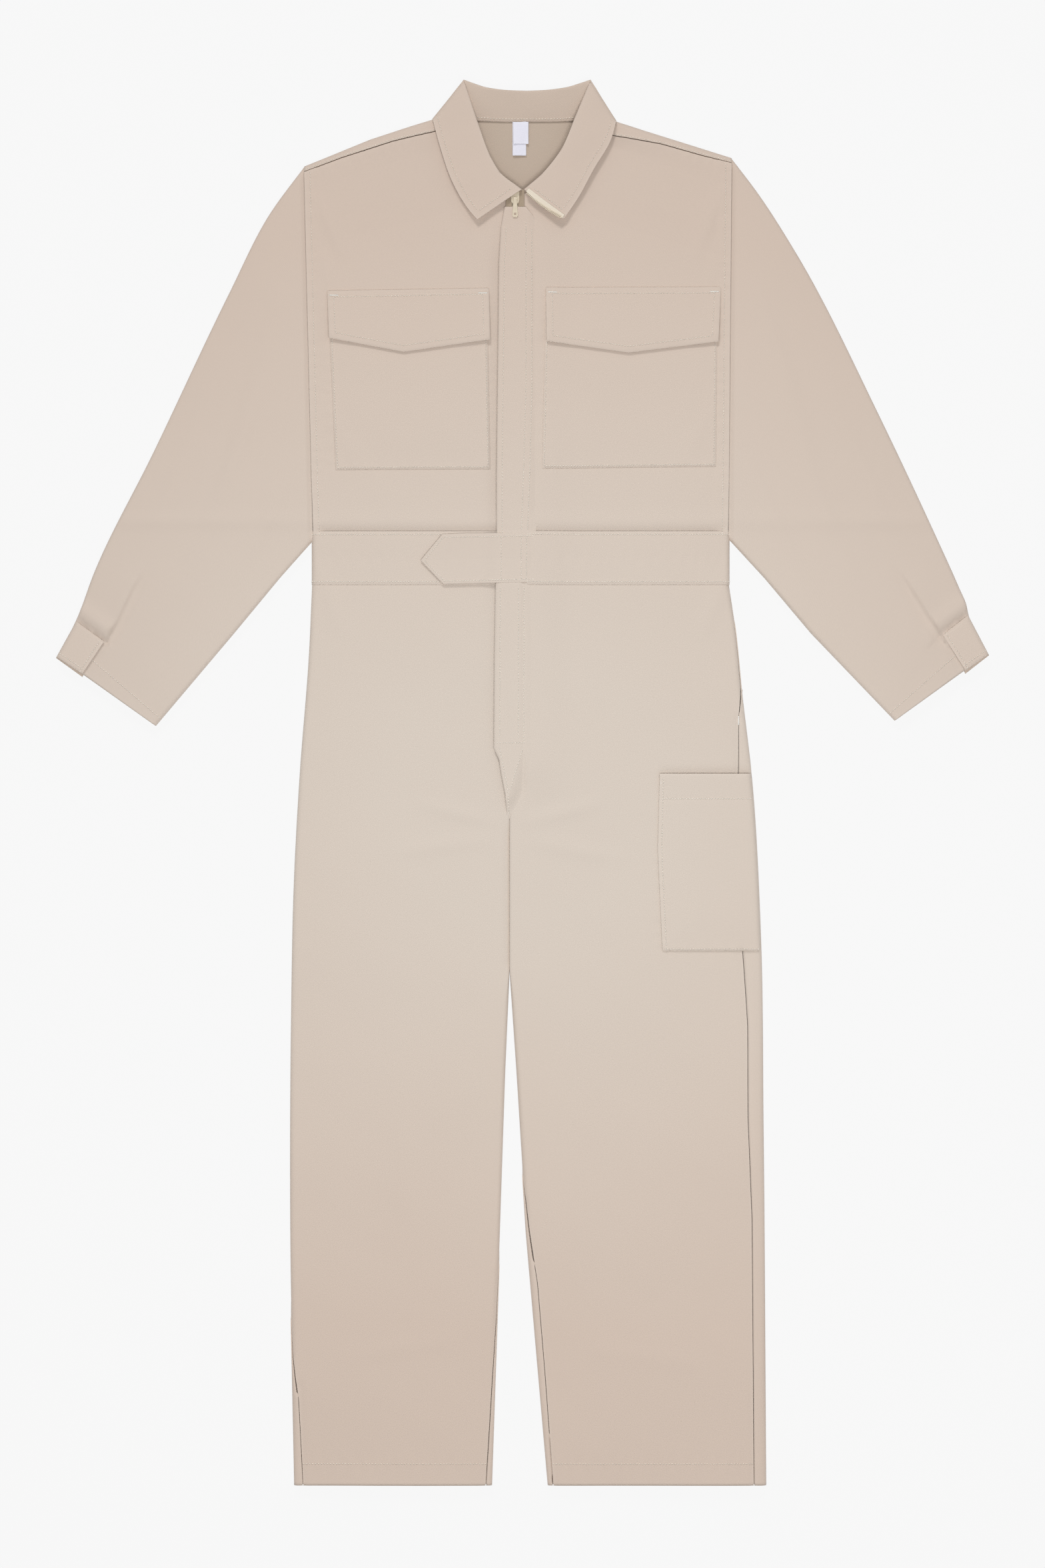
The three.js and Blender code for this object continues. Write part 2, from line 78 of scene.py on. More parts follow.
def placeCamera():
    optics = bpy.data.cameras.new("camera")
    optics.lens = view["lens"]
    optics.sensor_fit = "VERTICAL"
    optics.sensor_height = view["sensor"]
    distance = view["lens"] * view["tall"] / view["sensor"]
    scene.camera = addObject("camera", optics, (view["aimX"], view["aimY"], distance + frontHeight * mm))


studio = {
    "skyStrength": 0.34, "floorColour": (0.04, 0.04, 0.04, 1.0), "floorGlow": 0.895, "floorSize": 60.0,
    "key": {"power": 72.0, "size": 1.2, "place": (-0.7, 3.9, 3.2)},
    "fill": {"power": 35.5, "size": 1.3, "place": (0.2, -0.4, 2.6)},
}


def placeLight(name):
    facts = studio[name]
    lamp = bpy.data.lights.new(name, "AREA")
    lamp.shape = "DISK"
    lamp.size = facts["size"]
    lamp.energy = facts["power"]
    holder = addObject(name, lamp, facts["place"])
    holder.rotation_euler = (-Vector(facts["place"])).to_track_quat("-Z", "Y").to_euler()


def setInputs(tree, node, inputs):
    # Each input takes a value, or a link from another node's output.
    for name, value in inputs.items():
        if isinstance(value, bpy.types.NodeSocket):
            tree.links.new(value, node.inputs[name])
        else:
            node.inputs[name].default_value = value


def addNode(tree, kind, output, inputs=None, **settings):
    # Adds a shader node and gives back the output that is wanted of it.
    made = tree.nodes.new("ShaderNode" + kind)
    for name, value in settings.items():
        setattr(made, name, value)
    setInputs(tree, made, inputs or {})
    return made.outputs[output]


def newMaterial(name, inputs):
    made = bpy.data.materials.new(name)
    made.use_nodes = True
    shader = made.node_tree.nodes["Principled BSDF"]
    setInputs(made.node_tree, shader, inputs)
    return made, made.node_tree, shader


def newMesh(name, points, faces, material):
    # Points in millimetres go into the mesh in metres.
    mesh = bpy.data.meshes.new(name)
    mesh.from_pydata((np.reshape(points, (-1, 3)) * mm).tolist(), [], faces)
    mesh.materials.append(material)
    return mesh


def buildStudio():
    world = bpy.data.worlds.new("studio")
    world.use_nodes = True
    sky = {"Color": (1, 1, 1, 1), "Strength": studio["skyStrength"]}
    setInputs(world.node_tree, world.node_tree.nodes["Background"], sky)
    scene.world = world
    placeLight("key")
    placeLight("fill")
    paper = newMaterial("paper", {
        "Base Color": studio["floorColour"], "Roughness": 0.95, "Specular IOR Level": 0.1,
        "Emission Color": (1, 1, 1, 1), "Emission Strength": studio["floorGlow"]})[0]
    half = studio["floorSize"] / 2 / mm
    corners = [(-half, -half, -1), (half, -half, -1), (half, half, -1), (-half, half, -1)]
    addObject("floor", newMesh("floor", corners, [(0, 1, 2, 3)], paper))
    scene.view_settings.view_transform = "Standard"


# Materials
def paint(colour, share=1.0):
    # Screen colour, 0 to 255, as the shader's linear values, each times a share.
    values = [c / 255 for c in colour]
    return (*(share * (c / 12.92 if c < 0.04045 else ((c + 0.055) / 1.055) ** 2.4) for c in values), 1)


finishes = {
    "twill": {"light": (217, 205, 193), "dark": (212, 194, 180), "rib": 1.3, "bump": 0.45},
    "twillInside": {"light": (214, 198, 183), "dark": (208, 190, 175), "rib": 1.3, "bump": 0.4},
    # painted shade: a darker copy of the inside twill for the shade inside the neck opening
    "yokeInsidePaintedShade": {"light": (198, 182, 165), "dark": (193, 176, 160), "rib": 1.3, "bump": 0.4},
    # partly painted shade: the tape's own greyish beige, darkened further for the shadow around the slider
    "zipTapeAndShade": {"light": (182, 165, 145), "dark": (172, 155, 135), "rib": 0.9, "bump": 0.6},
    "tape": {"light": (240, 230, 214), "dark": (232, 220, 202), "rib": 0.9, "bump": 0.6},
    "thread": {"light": (250, 243, 232), "dark": (242, 232, 218), "rib": 0.5, "bump": 0.6},
    "bartack": {"light": (255, 252, 247), "dark": (248, 243, 235), "rib": 0.5, "bump": 0.6},
    "satin": {"light": (240, 239, 248), "dark": (232, 231, 243), "rib": 0.45, "bump": 0.2},
}
twillWeave = {"slant": math.radians(63), "warp": 0.7, "slub": 700.0, "drift": 2.2}
# painted shade: the cloth is mixed towards its dark colour with distance from the middle, for light falling
# off at the far ends
paintedShadeReach = {"From Min": 0.12, "From Max": 0.62, "To Min": 0.8, "To Max": -0.2}    # from the middle, m


def clothMaterial(name, facts, mapped=True, sheen=0.15, rough=0.92):
    # Twill: slanting ribs over slub noise, and paler rubbed edges. Its tone goes slowly from light
    # at the middle of the suit to dark at the far ends, which is painted shade for light falling off towards
    # the ends, with a little random tone noise in it.
    made, tree, shader = newMaterial(name, {
        "Roughness": rough, "Specular IOR Level": 0.18, "Sheen Weight": sheen, "Sheen Roughness": 0.6})
    place = addNode(tree, "TexCoord", "Object")
    source = addNode(tree, "UVMap", "UV", uv_map="cut") if mapped else place
    turned = addNode(tree, "Mapping", "Vector", {"Vector": source, "Rotation": (0, 0, twillWeave["slant"])})
    rib = addNode(tree, "TexWave", "Fac", {
        "Vector": turned, "Scale": math.pi / 10 / (facts["rib"] * mm), "Distortion": twillWeave["warp"],
        "Detail": 1.0})
    slub = addNode(tree, "TexNoise", "Fac", {"Vector": source, "Scale": twillWeave["slub"], "Detail": 3.0})
    drift = addNode(tree, "TexNoise", "Fac", {"Vector": place, "Scale": twillWeave["drift"], "Detail": 3.0})
    middle = addNode(tree, "Mapping", "Vector", {"Vector": place, "Scale": (0.8, 1.0, 0.0)})
    away = addNode(tree, "VectorMath", "Value", {0: middle}, operation="LENGTH")
    # painted shade: far from the middle the cloth darkens as if less lit; the drift noise is the cloth's own
    # random tone
    paintedShadeFalloff = addNode(tree, "MapRange", "Result", {"Value": away, **paintedShadeReach})
    driftAndPaintedShade = addNode(tree, "Math", "Value", {0: drift, 1: 0.4, 2: paintedShadeFalloff}, operation="MULTIPLY_ADD")
    tone = addNode(tree, "Mix", "Result", {
        "Factor": driftAndPaintedShade, "A": paint(facts["dark"]), "B": paint(facts["light"])}, data_type="RGBA")
    grain = addNode(tree, "MapRange", "Result", {"Value": slub, "To Min": 0.95, "To Max": 1.05})
    colour = addNode(tree, "VectorMath", "Vector", {0: tone, "Scale": grain}, operation="SCALE")
    if mapped:
        rub = addNode(tree, "Attribute", "Fac", attribute_name="rub")
        amount = addNode(tree, "Math", "Value", {0: rub, 1: 0.18}, operation="MULTIPLY")
        pale = paint(min(255, c + 12) for c in facts["light"])
        colour = addNode(tree, "Mix", "Result", {"Factor": amount, "A": colour, "B": pale}, data_type="RGBA")
    height = addNode(tree, "Math", "Value", {0: slub, 1: 0.6, 2: rib}, operation="MULTIPLY_ADD")
    weave = addNode(tree, "Bump", "Normal", {
        "Height": height, "Strength": facts["bump"], "Distance": 0.00015})
    setInputs(tree, shader, {"Base Color": colour, "Normal": weave})
    return made


def enamelMaterial(name, colour, metallic, rough):
    # Cast or painted metal: a little uneven in tone and gloss, with a fine cast grain.
    made, tree, shader = newMaterial(name, {"Metallic": metallic, "Coat Weight": 0.15})
    place = addNode(tree, "TexCoord", "Object")
    noise = addNode(tree, "TexNoise", "Fac", {"Vector": place, "Scale": 320.0})
    tone = addNode(tree, "Mix", "Result", {
        "Factor": noise, "A": paint(colour, 0.88), "B": paint(colour)}, data_type="RGBA")
    gloss = addNode(tree, "MapRange", "Result", {
        "Value": noise, "To Min": rough - 0.08, "To Max": rough + 0.08})
    grain = addNode(tree, "Bump", "Normal", {"Height": noise, "Strength": 0.1, "Distance": 0.0001})
    setInputs(tree, shader, {"Base Color": tone, "Roughness": gloss, "Normal": grain})
    return made


placeCamera()
buildStudio()
twill = clothMaterial("sand_twill", finishes["twill"])
twillInside = clothMaterial("sand_twill_inside", finishes["twillInside"])
yokeInsidePaintedShade = clothMaterial("sand_twill_yoke_inside_painted_shade", finishes["yokeInsidePaintedShade"])
zipTapeAndShade = clothMaterial("zip_tape_sand_and_painted_shade", finishes["zipTapeAndShade"])
tapeWeave = clothMaterial("zip_tape_weave", finishes["tape"])
thread = clothMaterial("sewing_thread", finishes["thread"], mapped=False, sheen=0.3)
tackThread = clothMaterial("bartack_thread", finishes["bartack"], mapped=False, sheen=0.3)
satin = clothMaterial("label_satin", finishes["satin"], sheen=0.4, rough=0.5)
enamel = enamelMaterial("zip_enamel", (234, 220, 196), 0.25, 0.34)
steel = enamelMaterial("snap_steel", (185, 183, 178), 1.0, 0.3)
print("studio and materials ready")


# Paths
def evenPath(points, count):
    # Points evenly spaced by length along straight stretches.
    given = np.array(points, float)
    run = np.concatenate([[0], np.cumsum(np.linalg.norm(np.diff(given, axis=0), axis=1))])
    want = np.linspace(0, run[-1], count)
    return np.stack([np.interp(want, run, given[:, i]) for i in range(given.shape[1])], axis=1)


def smoothPath(points, count):
    # Points evenly spaced by length along a cubic curve through the given points.
    given = np.array(points, float)
    if len(given) < 3:
        return evenPath(given, count)
    knots = np.concatenate([[0], np.cumsum(np.linalg.norm(np.diff(given, axis=0), axis=1))])
    slope = np.gradient(given, knots, axis=0)
    fine = np.linspace(0, knots[-1], 60 * len(given))
    at = np.clip(np.searchsorted(knots, fine, "right") - 1, 0, len(given) - 2)
    span = (knots[at + 1] - knots[at])[:, None]
    t = (fine - knots[at])[:, None] / span
    curve = ((2 * t**3 - 3 * t**2 + 1) * given[at] + (t**3 - 2 * t**2 + t) * span * slope[at]
             + (3 * t**2 - 2 * t**3) * given[at + 1] + (t**3 - t**2) * span * slope[at + 1])
    return evenPath(curve, count)


def nearPath(path, x, y):
    # For every place: distance to the path, side of it (1 on the left), and length run along it.
    given = np.array(path, float)
    best = np.full(np.shape(x), 1e9)
    side, run = np.zeros(np.shape(x)), np.zeros(np.shape(x))
    walked = 0.0
    for start, end in zip(given[:-1], given[1:]):
        along = end - start
        size = math.hypot(*along)
        share = np.clip(((x - start[0]) * along[0] + (y - start[1]) * along[1]) / size**2, 0, 1)
        gap = np.hypot(x - start[0] - share * along[0], y - start[1] - share * along[1])
        turn = np.sign(along[0] * (y - start[1]) - along[1] * (x - start[0]))
        closer = gap < best
        side = np.where(closer, turn, side)
        run = np.where(closer, walked + share * size, run)
        best = np.where(closer, gap, best)
        walked += size
    return best, side, run


def fade(value, low, high):
    # 0 at low, 1 at high, smooth between.
    t = np.clip((value - low) / (high - low), 0, 1)
    return t * t * (3 - 2 * t)


def drop(distance, radius):
    # How far a rounded edge lies below its flat top, at a distance in from the edge.
    inside = np.clip(radius - distance, 0, radius)
    return radius - np.sqrt(np.maximum(radius**2 - inside**2, 0))


def hump(value, middle, half):
    # 1 at the middle and smoothly down to 0 on both sides, as exp of minus the square.
    return np.exp(-(((value - middle) / half) ** 2))


def gapTo(path, plan):
    # Distance to a path from every place of a plan.
    return nearPath(path, plan[..., 0], plan[..., 1])[0]


# The lie of the cloth: slow swells, a few soft folds and the pucker beside sewn seams.
folds = [
    # start, end, half width, height
    ((-225, 640), (-190, 560), 7, 1.6), ((-222, 585), (-205, 520), 6, 1.0),
    ((218, 650), (186, 566), 7, 1.6), ((216, 590), (200, 525), 6, 1.0),
    ((-220, 420), (-170, 330), 10, 1.0), ((212, 420), (165, 330), 10, 1.0),
    ((-225, 250), (-190, 150), 9, 1.2), ((226, 240), (190, 150), 9, 1.2),
    ((-22, -45), (-120, -20), 8, 1.3), ((-22, -60), (-150, -75), 9, 1.2),
    ((-6, -45), (92, -20), 8, 1.3), ((-6, -60), (120, -85), 9, 1.2),
    ((-60, 200), (-75, 60), 12, 0.8), ((60, 200), (78, 60), 12, 0.8),
    ((-130, -330), (-120, -560), 16, 1.0), ((120, -330), (140, -560), 16, 1.0),
    ((-200, -620), (-60, -600), 11, 0.6), ((60, -610), (210, -630), 11, 0.6),
    ((-250, 560), (-330, 300), 10, 1.5), ((-262, 470), (-380, 180), 9, 1.1),
    ((-240, 360), (-310, 210), 8, 1.2), ((-330, 440), (-420, 230), 8, 0.9),
    ((246, 560), (325, 310), 10, 1.5), ((256, 470), (370, 190), 9, 1.1),
    ((238, 360), (305, 215), 8, 1.2), ((326, 440), (410, 240), 8, 0.9),
]
seams = [
    ((-232, 660), (-222, 271)), ((221, 668), (218, 271)),
    ((-227, 243), (223, 243)), ((-209, 340), (-33, 340)), ((20, 341), (210, 341)),
    ((-209, 530), (-207, 340)), ((-35, 530), (-35, 340)), ((24, 530), (22, 340)), ((212, 530), (210, 340)),
    ((147, -80), (149, -182), (256, -180)), ((-16, 600), (-16, 271)),
    ((-250, -735), (-30, -735)), ((25, -735), (262, -735)),
    ((-239, 655), (-96, 700)), ((100, 698), (226, 666)),
]


def lie(x, y):
    # Slow sine swells, each fold a hump across its line that dies at both ends, and a short
    # sine along each seam that dies away from it.
    high = (0.50 * np.sin(x / 47 + y / 83 + 0.6) + 0.42 * np.sin(-x / 71 + y / 39 + 2.1)
            + 0.28 * np.sin(x / 27 - y / 61) + 0.20 * np.sin(x / 90 + y / 19 + 1.0)
            + 0.10 * np.sin(x / 9 + y / 31) * np.sin(y / 13 - x / 40))
    for start, end, half, height in folds:
        gap, _, run = nearPath((start, end), x, y)
        share = run / math.dist(start, end)
        high = high + height * np.clip(4 * share * (1 - share), 0, 1) * hump(gap, 0, half)
    for seam in seams:
        gap, _, run = nearPath(seam, x, y)
        high = high + 0.28 * np.sin(run / 2.3 + 2 * np.sin(run / 17)) * hump(gap, 0, 6.5)
    return high


hollows = [
    # Paths beside which the front sinks under a heavier piece: half width, depth.
    ([(-97, 718), (-92, 686), (-77, 645), (-59, 616), (-49, 606)], 15, 2.4),
    ([(-49, 606), (-14, 630)], 9, 1.6),
    ([(101, 716), (98, 695), (79, 660), (61, 629), (45, 607)], 15, 2.4),
    ([(45, 607), (14, 628)], 9, 1.6),
    ([(-28, 600), (-31, 275)], 6, 1.2),
    ([(232.9, 71), (232.9, 10)], 3, 1.3),
    ([(237.2, -181), (242.4, -262), (243.4, -362), (247.7, -470), (249.5, -759)], 3, 1.0),
    ([(-240, -650), (-237, -759)], 3, 1.0), ([(-26, -525), (-40, -759)], 3, 1.0),
    ([(2.9, -449), (16.6, -541), (24.5, -636), (33.5, -759)], 3, 1.0),
    ([(-210, 478), (-128, 463), (-34, 477)], 8, 0.8), ([(25, 475), (114, 462), (212, 475)], 8, 0.8),
]
blouse = {"at": 283, "half": 8, "high": 1.3}      # over the waistband
coverRise = 4.6


def frontTop(x, y):
    # The outside of the front: its flat height and lie, rising on the left to meet the covers,
    # hollow beside the collar and blousing a little over the waistband.
    covered = fade(x, 62, 15) * (1 - fade(x, 4, 0)) * fade(y, 625, 560) * fade(y, -30, 30)
    high = frontHeight + lie(x, y) + coverRise * covered
    high = high + blouse["high"] * hump(y, blouse["at"], blouse["half"])
    for path, half, depth in hollows:
        high = high - depth * hump(nearPath(path, x, y)[0], 0, half)
    return high


# Cloth pieces
def rounded(piece, width, angle):
    # Rounds every edge sharper than an angle.
    rim = piece.modifiers.new("rim", "BEVEL")
    rim.width = width * mm
    rim.segments = 2
    rim.limit_method = "ANGLE"
    rim.angle_limit = math.radians(angle)


def runAlong(points, axis):
    # Length run so far along every line of a grid.
    steps = np.linalg.norm(np.diff(points, axis=axis), axis=2)
    return np.concatenate([0 * np.take(steps, [0], axis=axis), np.cumsum(steps, axis=axis)], axis=axis)


def gridObject(name, points, material, up=1, closed=False, thick=0.9, bevel=0.0):
    # A sheet over a grid of points (rows, columns, 3) in millimetres; its own cut is its map.
    rows, columns = points.shape[:2]
    index = np.arange(rows * columns).reshape(rows, columns)
    if closed:
        index = np.concatenate([index, index[:, :1]], axis=1)
    faces = np.stack([index[:-1, :-1], index[:-1, 1:], index[1:, 1:], index[1:, :-1]], axis=-1)
    faces = faces.reshape(-1, 4)
    flat = points.reshape(-1, 3)
    corner = flat[faces]
    normal = np.cross(corner[:, 2] - corner[:, 0], corner[:, 3] - corner[:, 1])
    highest = corner[:, :, 2].mean(axis=1) >= np.median(flat[:, 2])
    if normal[highest, 2].sum() * up < 0:
        faces = faces[:, ::-1]
    mesh = newMesh(name, points, faces.tolist(), material)
    across, down = runAlong(points, 1), runAlong(points, 0)
    loops = np.zeros(len(mesh.loops), np.int32)
    mesh.loops.foreach_get("vertex_index", loops)
    cut = np.stack([across.reshape(-1)[loops], down.reshape(-1)[loops]], axis=1) * mm
    layer = mesh.uv_layers.new(name="cut")
    layer.data.foreach_set("uv", cut.astype(np.float32).reshape(-1))
    border = np.minimum(down, down[-1:] - down)
    if not closed:
        border = np.minimum(border, np.minimum(across, across[:, -1:] - across))
    rub = mesh.attributes.new("rub", "FLOAT", "POINT")
    rub.data.foreach_set("value", np.exp(-border / 2.0).astype(np.float32).reshape(-1))
    mesh.polygons.foreach_set("use_smooth", np.ones(len(mesh.polygons), bool))
    made = addObject(name, mesh)
    wall = made.modifiers.new("cloth", "SOLIDIFY")
    wall.thickness = thick * mm
    wall.offset = -1
    if bevel:
        rounded(made, bevel, 50)
    return made


def coons(bottom, top, columns, rows, left=None, right=None):
    # Fills four edge paths: both ruled surfaces added, less the flat one through the corners.
    # A side that is not given is straight.
    b, t = evenPath(bottom, columns)[None], evenPath(top, columns)[None]
    l = evenPath([bottom[0], top[0]] if left is None else left, rows)[:, None]
    r = evenPath([bottom[-1], top[-1]] if right is None else right, rows)[:, None]
    u = np.linspace(0, 1, columns)[None, :, None]
    v = np.linspace(0, 1, rows)[:, None, None]
    flat = (1 - u) * (1 - v) * b[:, :1] + u * (1 - v) * b[:, -1:] + (1 - u) * v * t[:, :1] + u * v * t[:, -1:]
    return (1 - v) * b + v * t + (1 - u) * l + u * r - flat


def ruled(first, last, columns):
    # Straight lines from each point of one path to its fellow on another, and the share run.
    share = np.linspace(0, 1, columns)[None, :, None]
    return first[:, None] * (1 - share) + last[:, None] * share, share[..., 0]


def raised(plan, height):
    # A plan's X and Y with a height as Z.
    return np.concatenate([plan, np.broadcast_to(height, plan.shape[:2])[..., None]], axis=2)


leastSide, leastShare = 0.0101, 0.301      # the narrowest cut, m, and the smallest share of it


def sewCloth(name, points, body, nodes, material=twill, slot="twill", held="laid", ends=None, **cut):
    # The cut's area is the grid's own; its size is that of the longest line each way.
    piece = gridObject(name, points, material, **cut)
    if ends:
        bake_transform(piece)
    else:
        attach(piece, body)
    if nodes:
        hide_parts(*nodes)
    a, b, c, d = points[:-1, :-1], points[1:, :-1], points[1:, 1:], points[:-1, 1:]
    area = 0.5 * np.linalg.norm(np.cross(c - a, d - b), axis=2).sum() * mm * mm
    wide = np.linalg.norm(np.diff(points, axis=1), axis=2).sum(axis=1).max() * mm
    tall = np.linalg.norm(np.diff(points, axis=0), axis=2).sum(axis=0).max() * mm
    wide, tall = max(wide, leastSide), max(tall, leastSide)
    area = min(max(area, leastShare * wide * tall), wide * tall)
    print(f"{name}: flat {wide / mm:.0f} x {tall / mm:.0f} mm, {area * 1e4:.0f} cm2")


def section(s, wide, roundA, roundB, high):
    # A flattened tube's outline. s runs from fold A over the top to fold B, then back under it.
    arcA, arcB = roundA * math.pi / 2, roundB * math.pi / 2
    top = wide - roundA - roundB + arcA + arcB
    s = np.mod(s, 2 * top)
    under = s > top
    near = np.where(under, 2 * top - s, s)
    turnA = np.clip(near / roundA, 0, math.pi / 2)
    turnB = np.clip((top - near) / roundB, 0, math.pi / 2)
    across = np.where(near < arcA, roundA * (1 - np.cos(turnA)),
                      np.where(near > top - arcB, wide - roundB * (1 - np.cos(turnB)), roundA + near - arcA))
    lift = np.where(near < arcA, np.sin(turnA), np.where(near > top - arcB, np.sin(turnB), 1.0))
    return across, high / 2 * (1 + np.where(under, -1, 1) * lift), top


def tube(pathA, pathB, starts, ends, columns, roundA, roundB, high, ease=0.0):
    # The part of a flattened tube between two places round it, which are worked out from the
    # length over its top. ease draws both faces in towards the middle.
    gap = pathB - pathA
    wide = np.linalg.norm(gap, axis=1)[:, None]
    roundA, roundB = np.reshape(roundA, (-1, 1)) + 0 * wide, np.reshape(roundB, (-1, 1)) + 0 * wide
    top = section(0 * wide, wide, roundA, roundB, high)[2]
    first, final = starts(top), ends(top)
    arcA, arcB = roundA * math.pi / 2, roundB * math.pi / 2
    bends = [first, -arcA, 0 * top, arcA, top - arcB, top, top + arcB, 2 * top - arcA, 2 * top,
             2 * top + arcA, final]
    bends = [np.clip(b, first, final) for b in bends]
    parts = []
    for low, to in zip(bends[:-1], bends[1:]):
        run = float(np.max(to - low))
        if run > 0.05:
            steps = max(4, int(round(columns * run / float(np.max(final - first)))))
            parts.append(low + (to - low) * np.linspace(0, 1, steps + 1)[None, :-1])
    s = np.concatenate(parts + [final], axis=1)
    across, height, _ = section(s, wide, roundA, roundB, high)
    height = high / 2 + (height - high / 2) * (1 - 2 * ease / high)
    plan = pathA[:, None, :] + gap[:, None, :] * (across / wide)[..., None]
    return raised(plan, height + restGap)


def laid(points, lift=0.0):
    # Gives the upper face of a tube the lie of the cloth.
    upper = fade(points[..., 2] - restGap, tubeHigh * 0.55, tubeHigh * 0.98)
    points[..., 2] += upper * (frontTop(points[..., 0], points[..., 1]) - frontHeight + lift)
    return points


# Stitches and bartacks
stitch = {"pitch": 3.2, "long": 2.4, "wide": 0.98, "high": 0.5, "proud": 0.1, "lift": 0.15}
tack = {"pitch": 0.55, "long": 1.9, "wide": 0.7, "high": 0.4, "proud": 0.15}
stitchRows = {}


def wayAlong(line):
    # Unit direction at each point of a line.
    way = np.gradient(line, axis=0)
    return way / np.linalg.norm(way, axis=1)[:, None]


def pathLength(path):
    return np.linalg.norm(np.diff(path, axis=0), axis=1).sum()


def stitchRow(group, path, height=None, pitch=stitch["pitch"]):
    # Notes a row of stitches for a group: points along the path, and the way the row runs there.
    given = np.array(path, float)
    count = max(2, int(pathLength(given) / pitch))
    line = evenPath(given, 2 * count + 1)[1::2]
    if height:
        line = np.concatenate([line, height(line[:, 0], line[:, 1])[:, None]], axis=1)
    line = line + (0, 0, stitch["proud"])
    stitchRows.setdefault(group, []).append((line, wayAlong(line)))


def stitchMesh(line, way, long, wide, high):
    # Each stitch is a grain: two rings of four points and a point at each end.
    sideways = np.cross((0, 0, 1), way)
    sideways /= np.linalg.norm(sideways, axis=1)[:, None]
    lift = np.cross(way, sideways)
    shape = [(-0.5, 0, -0.3)]
    for at in (-0.28, 0.28):
        shape += [(at, 0.5, 0), (at, 0, 1), (at, -0.5, 0), (at, 0, -0.6)]
    shape += [(0.5, 0, -0.3)]
    shape = np.array(shape)
    points = (line[:, None] + shape[None, :, :1] * long * way[:, None]
              + shape[None, :, 1:2] * wide * sideways[:, None] + shape[None, :, 2:] * high * lift[:, None])
    around = [(0, 2, 1), (0, 3, 2), (0, 4, 3), (0, 1, 4), (9, 5, 6), (9, 6, 7), (9, 7, 8), (9, 8, 5)]
    sides = [(1, 2, 6, 5), (2, 3, 7, 6), (3, 4, 8, 7), (4, 1, 5, 8)]
    start = 10 * np.arange(len(line))[:, None, None]
    threes = (np.array(around)[None] + start).reshape(-1, 3).tolist()
    fours = (np.array(sides)[None] + start).reshape(-1, 4).tolist()
    return points.reshape(-1, 3), threes + fours


def turnedOut(mesh):
    # Faces of closed grains and teeth point outwards.
    shell = bmesh.new()
    shell.from_mesh(mesh)
    bmesh.ops.recalc_face_normals(shell, faces=shell.faces)
    shell.to_mesh(mesh)
    shell.free()


def sewRows(group, body, material=thread, sizes=stitch):
    # All rows of a group in one piece.
    line = np.concatenate([row[0] for row in stitchRows[group]])
    way = np.concatenate([row[1] for row in stitchRows[group]])
    points, faces = stitchMesh(line, way, sizes["long"], sizes["wide"], sizes["high"])
    mesh = newMesh(group, points, faces, material)
    mesh.polygons.foreach_set("use_smooth", np.ones(len(mesh.polygons), bool))
    made = addObject(group, mesh)
    mesh.validate()
    turnedOut(mesh)
    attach(made, body)
    print(f"{group}: {len(line)} stitches")


def bartack(group, start, end, height):
    # A dense bar of short stitches laid across the line from start to end.
    start, end = np.array(start, float), np.array(end, float)
    size = math.dist(start, end)
    line = evenPath([start, end], int(size / tack["pitch"]))
    across = np.array([-(end - start)[1], (end - start)[0], 0]) / size
    line = np.concatenate([line, height(line[:, 0], line[:, 1])[:, None] + tack["proud"]], axis=1)
    stitchRows.setdefault(group, []).append((line, np.broadcast_to(across, line.shape)))


def gridLine(points, row=None, column=None):
    # A line of a piece's grid, at a share of the way down its rows or across its columns.
    if row is not None:
        return points[int(round(row * (points.shape[0] - 1)))]
    return points[:, int(round(column * (points.shape[1] - 1)))]


def inset(outline, distance):
    # A closed outline drawn in by a distance, towards its own middle.
    points = np.array(outline, float)
    after, before = np.roll(points, -1, axis=0), np.roll(points, 1, axis=0)
    forward, back = after - points, points - before
    forward /= np.linalg.norm(forward, axis=1)[:, None]
    back /= np.linalg.norm(back, axis=1)[:, None]
    turned = np.sum(points[:, 0] * after[:, 1] - after[:, 0] * points[:, 1])
    normalA = np.stack([-back[:, 1], back[:, 0]], axis=1) * np.sign(turned)
    normalB = np.stack([-forward[:, 1], forward[:, 0]], axis=1) * np.sign(turned)
    corner = normalA + normalB
    corner /= (1 + np.sum(normalA * normalB, axis=1))[:, None]
    return points + corner * distance


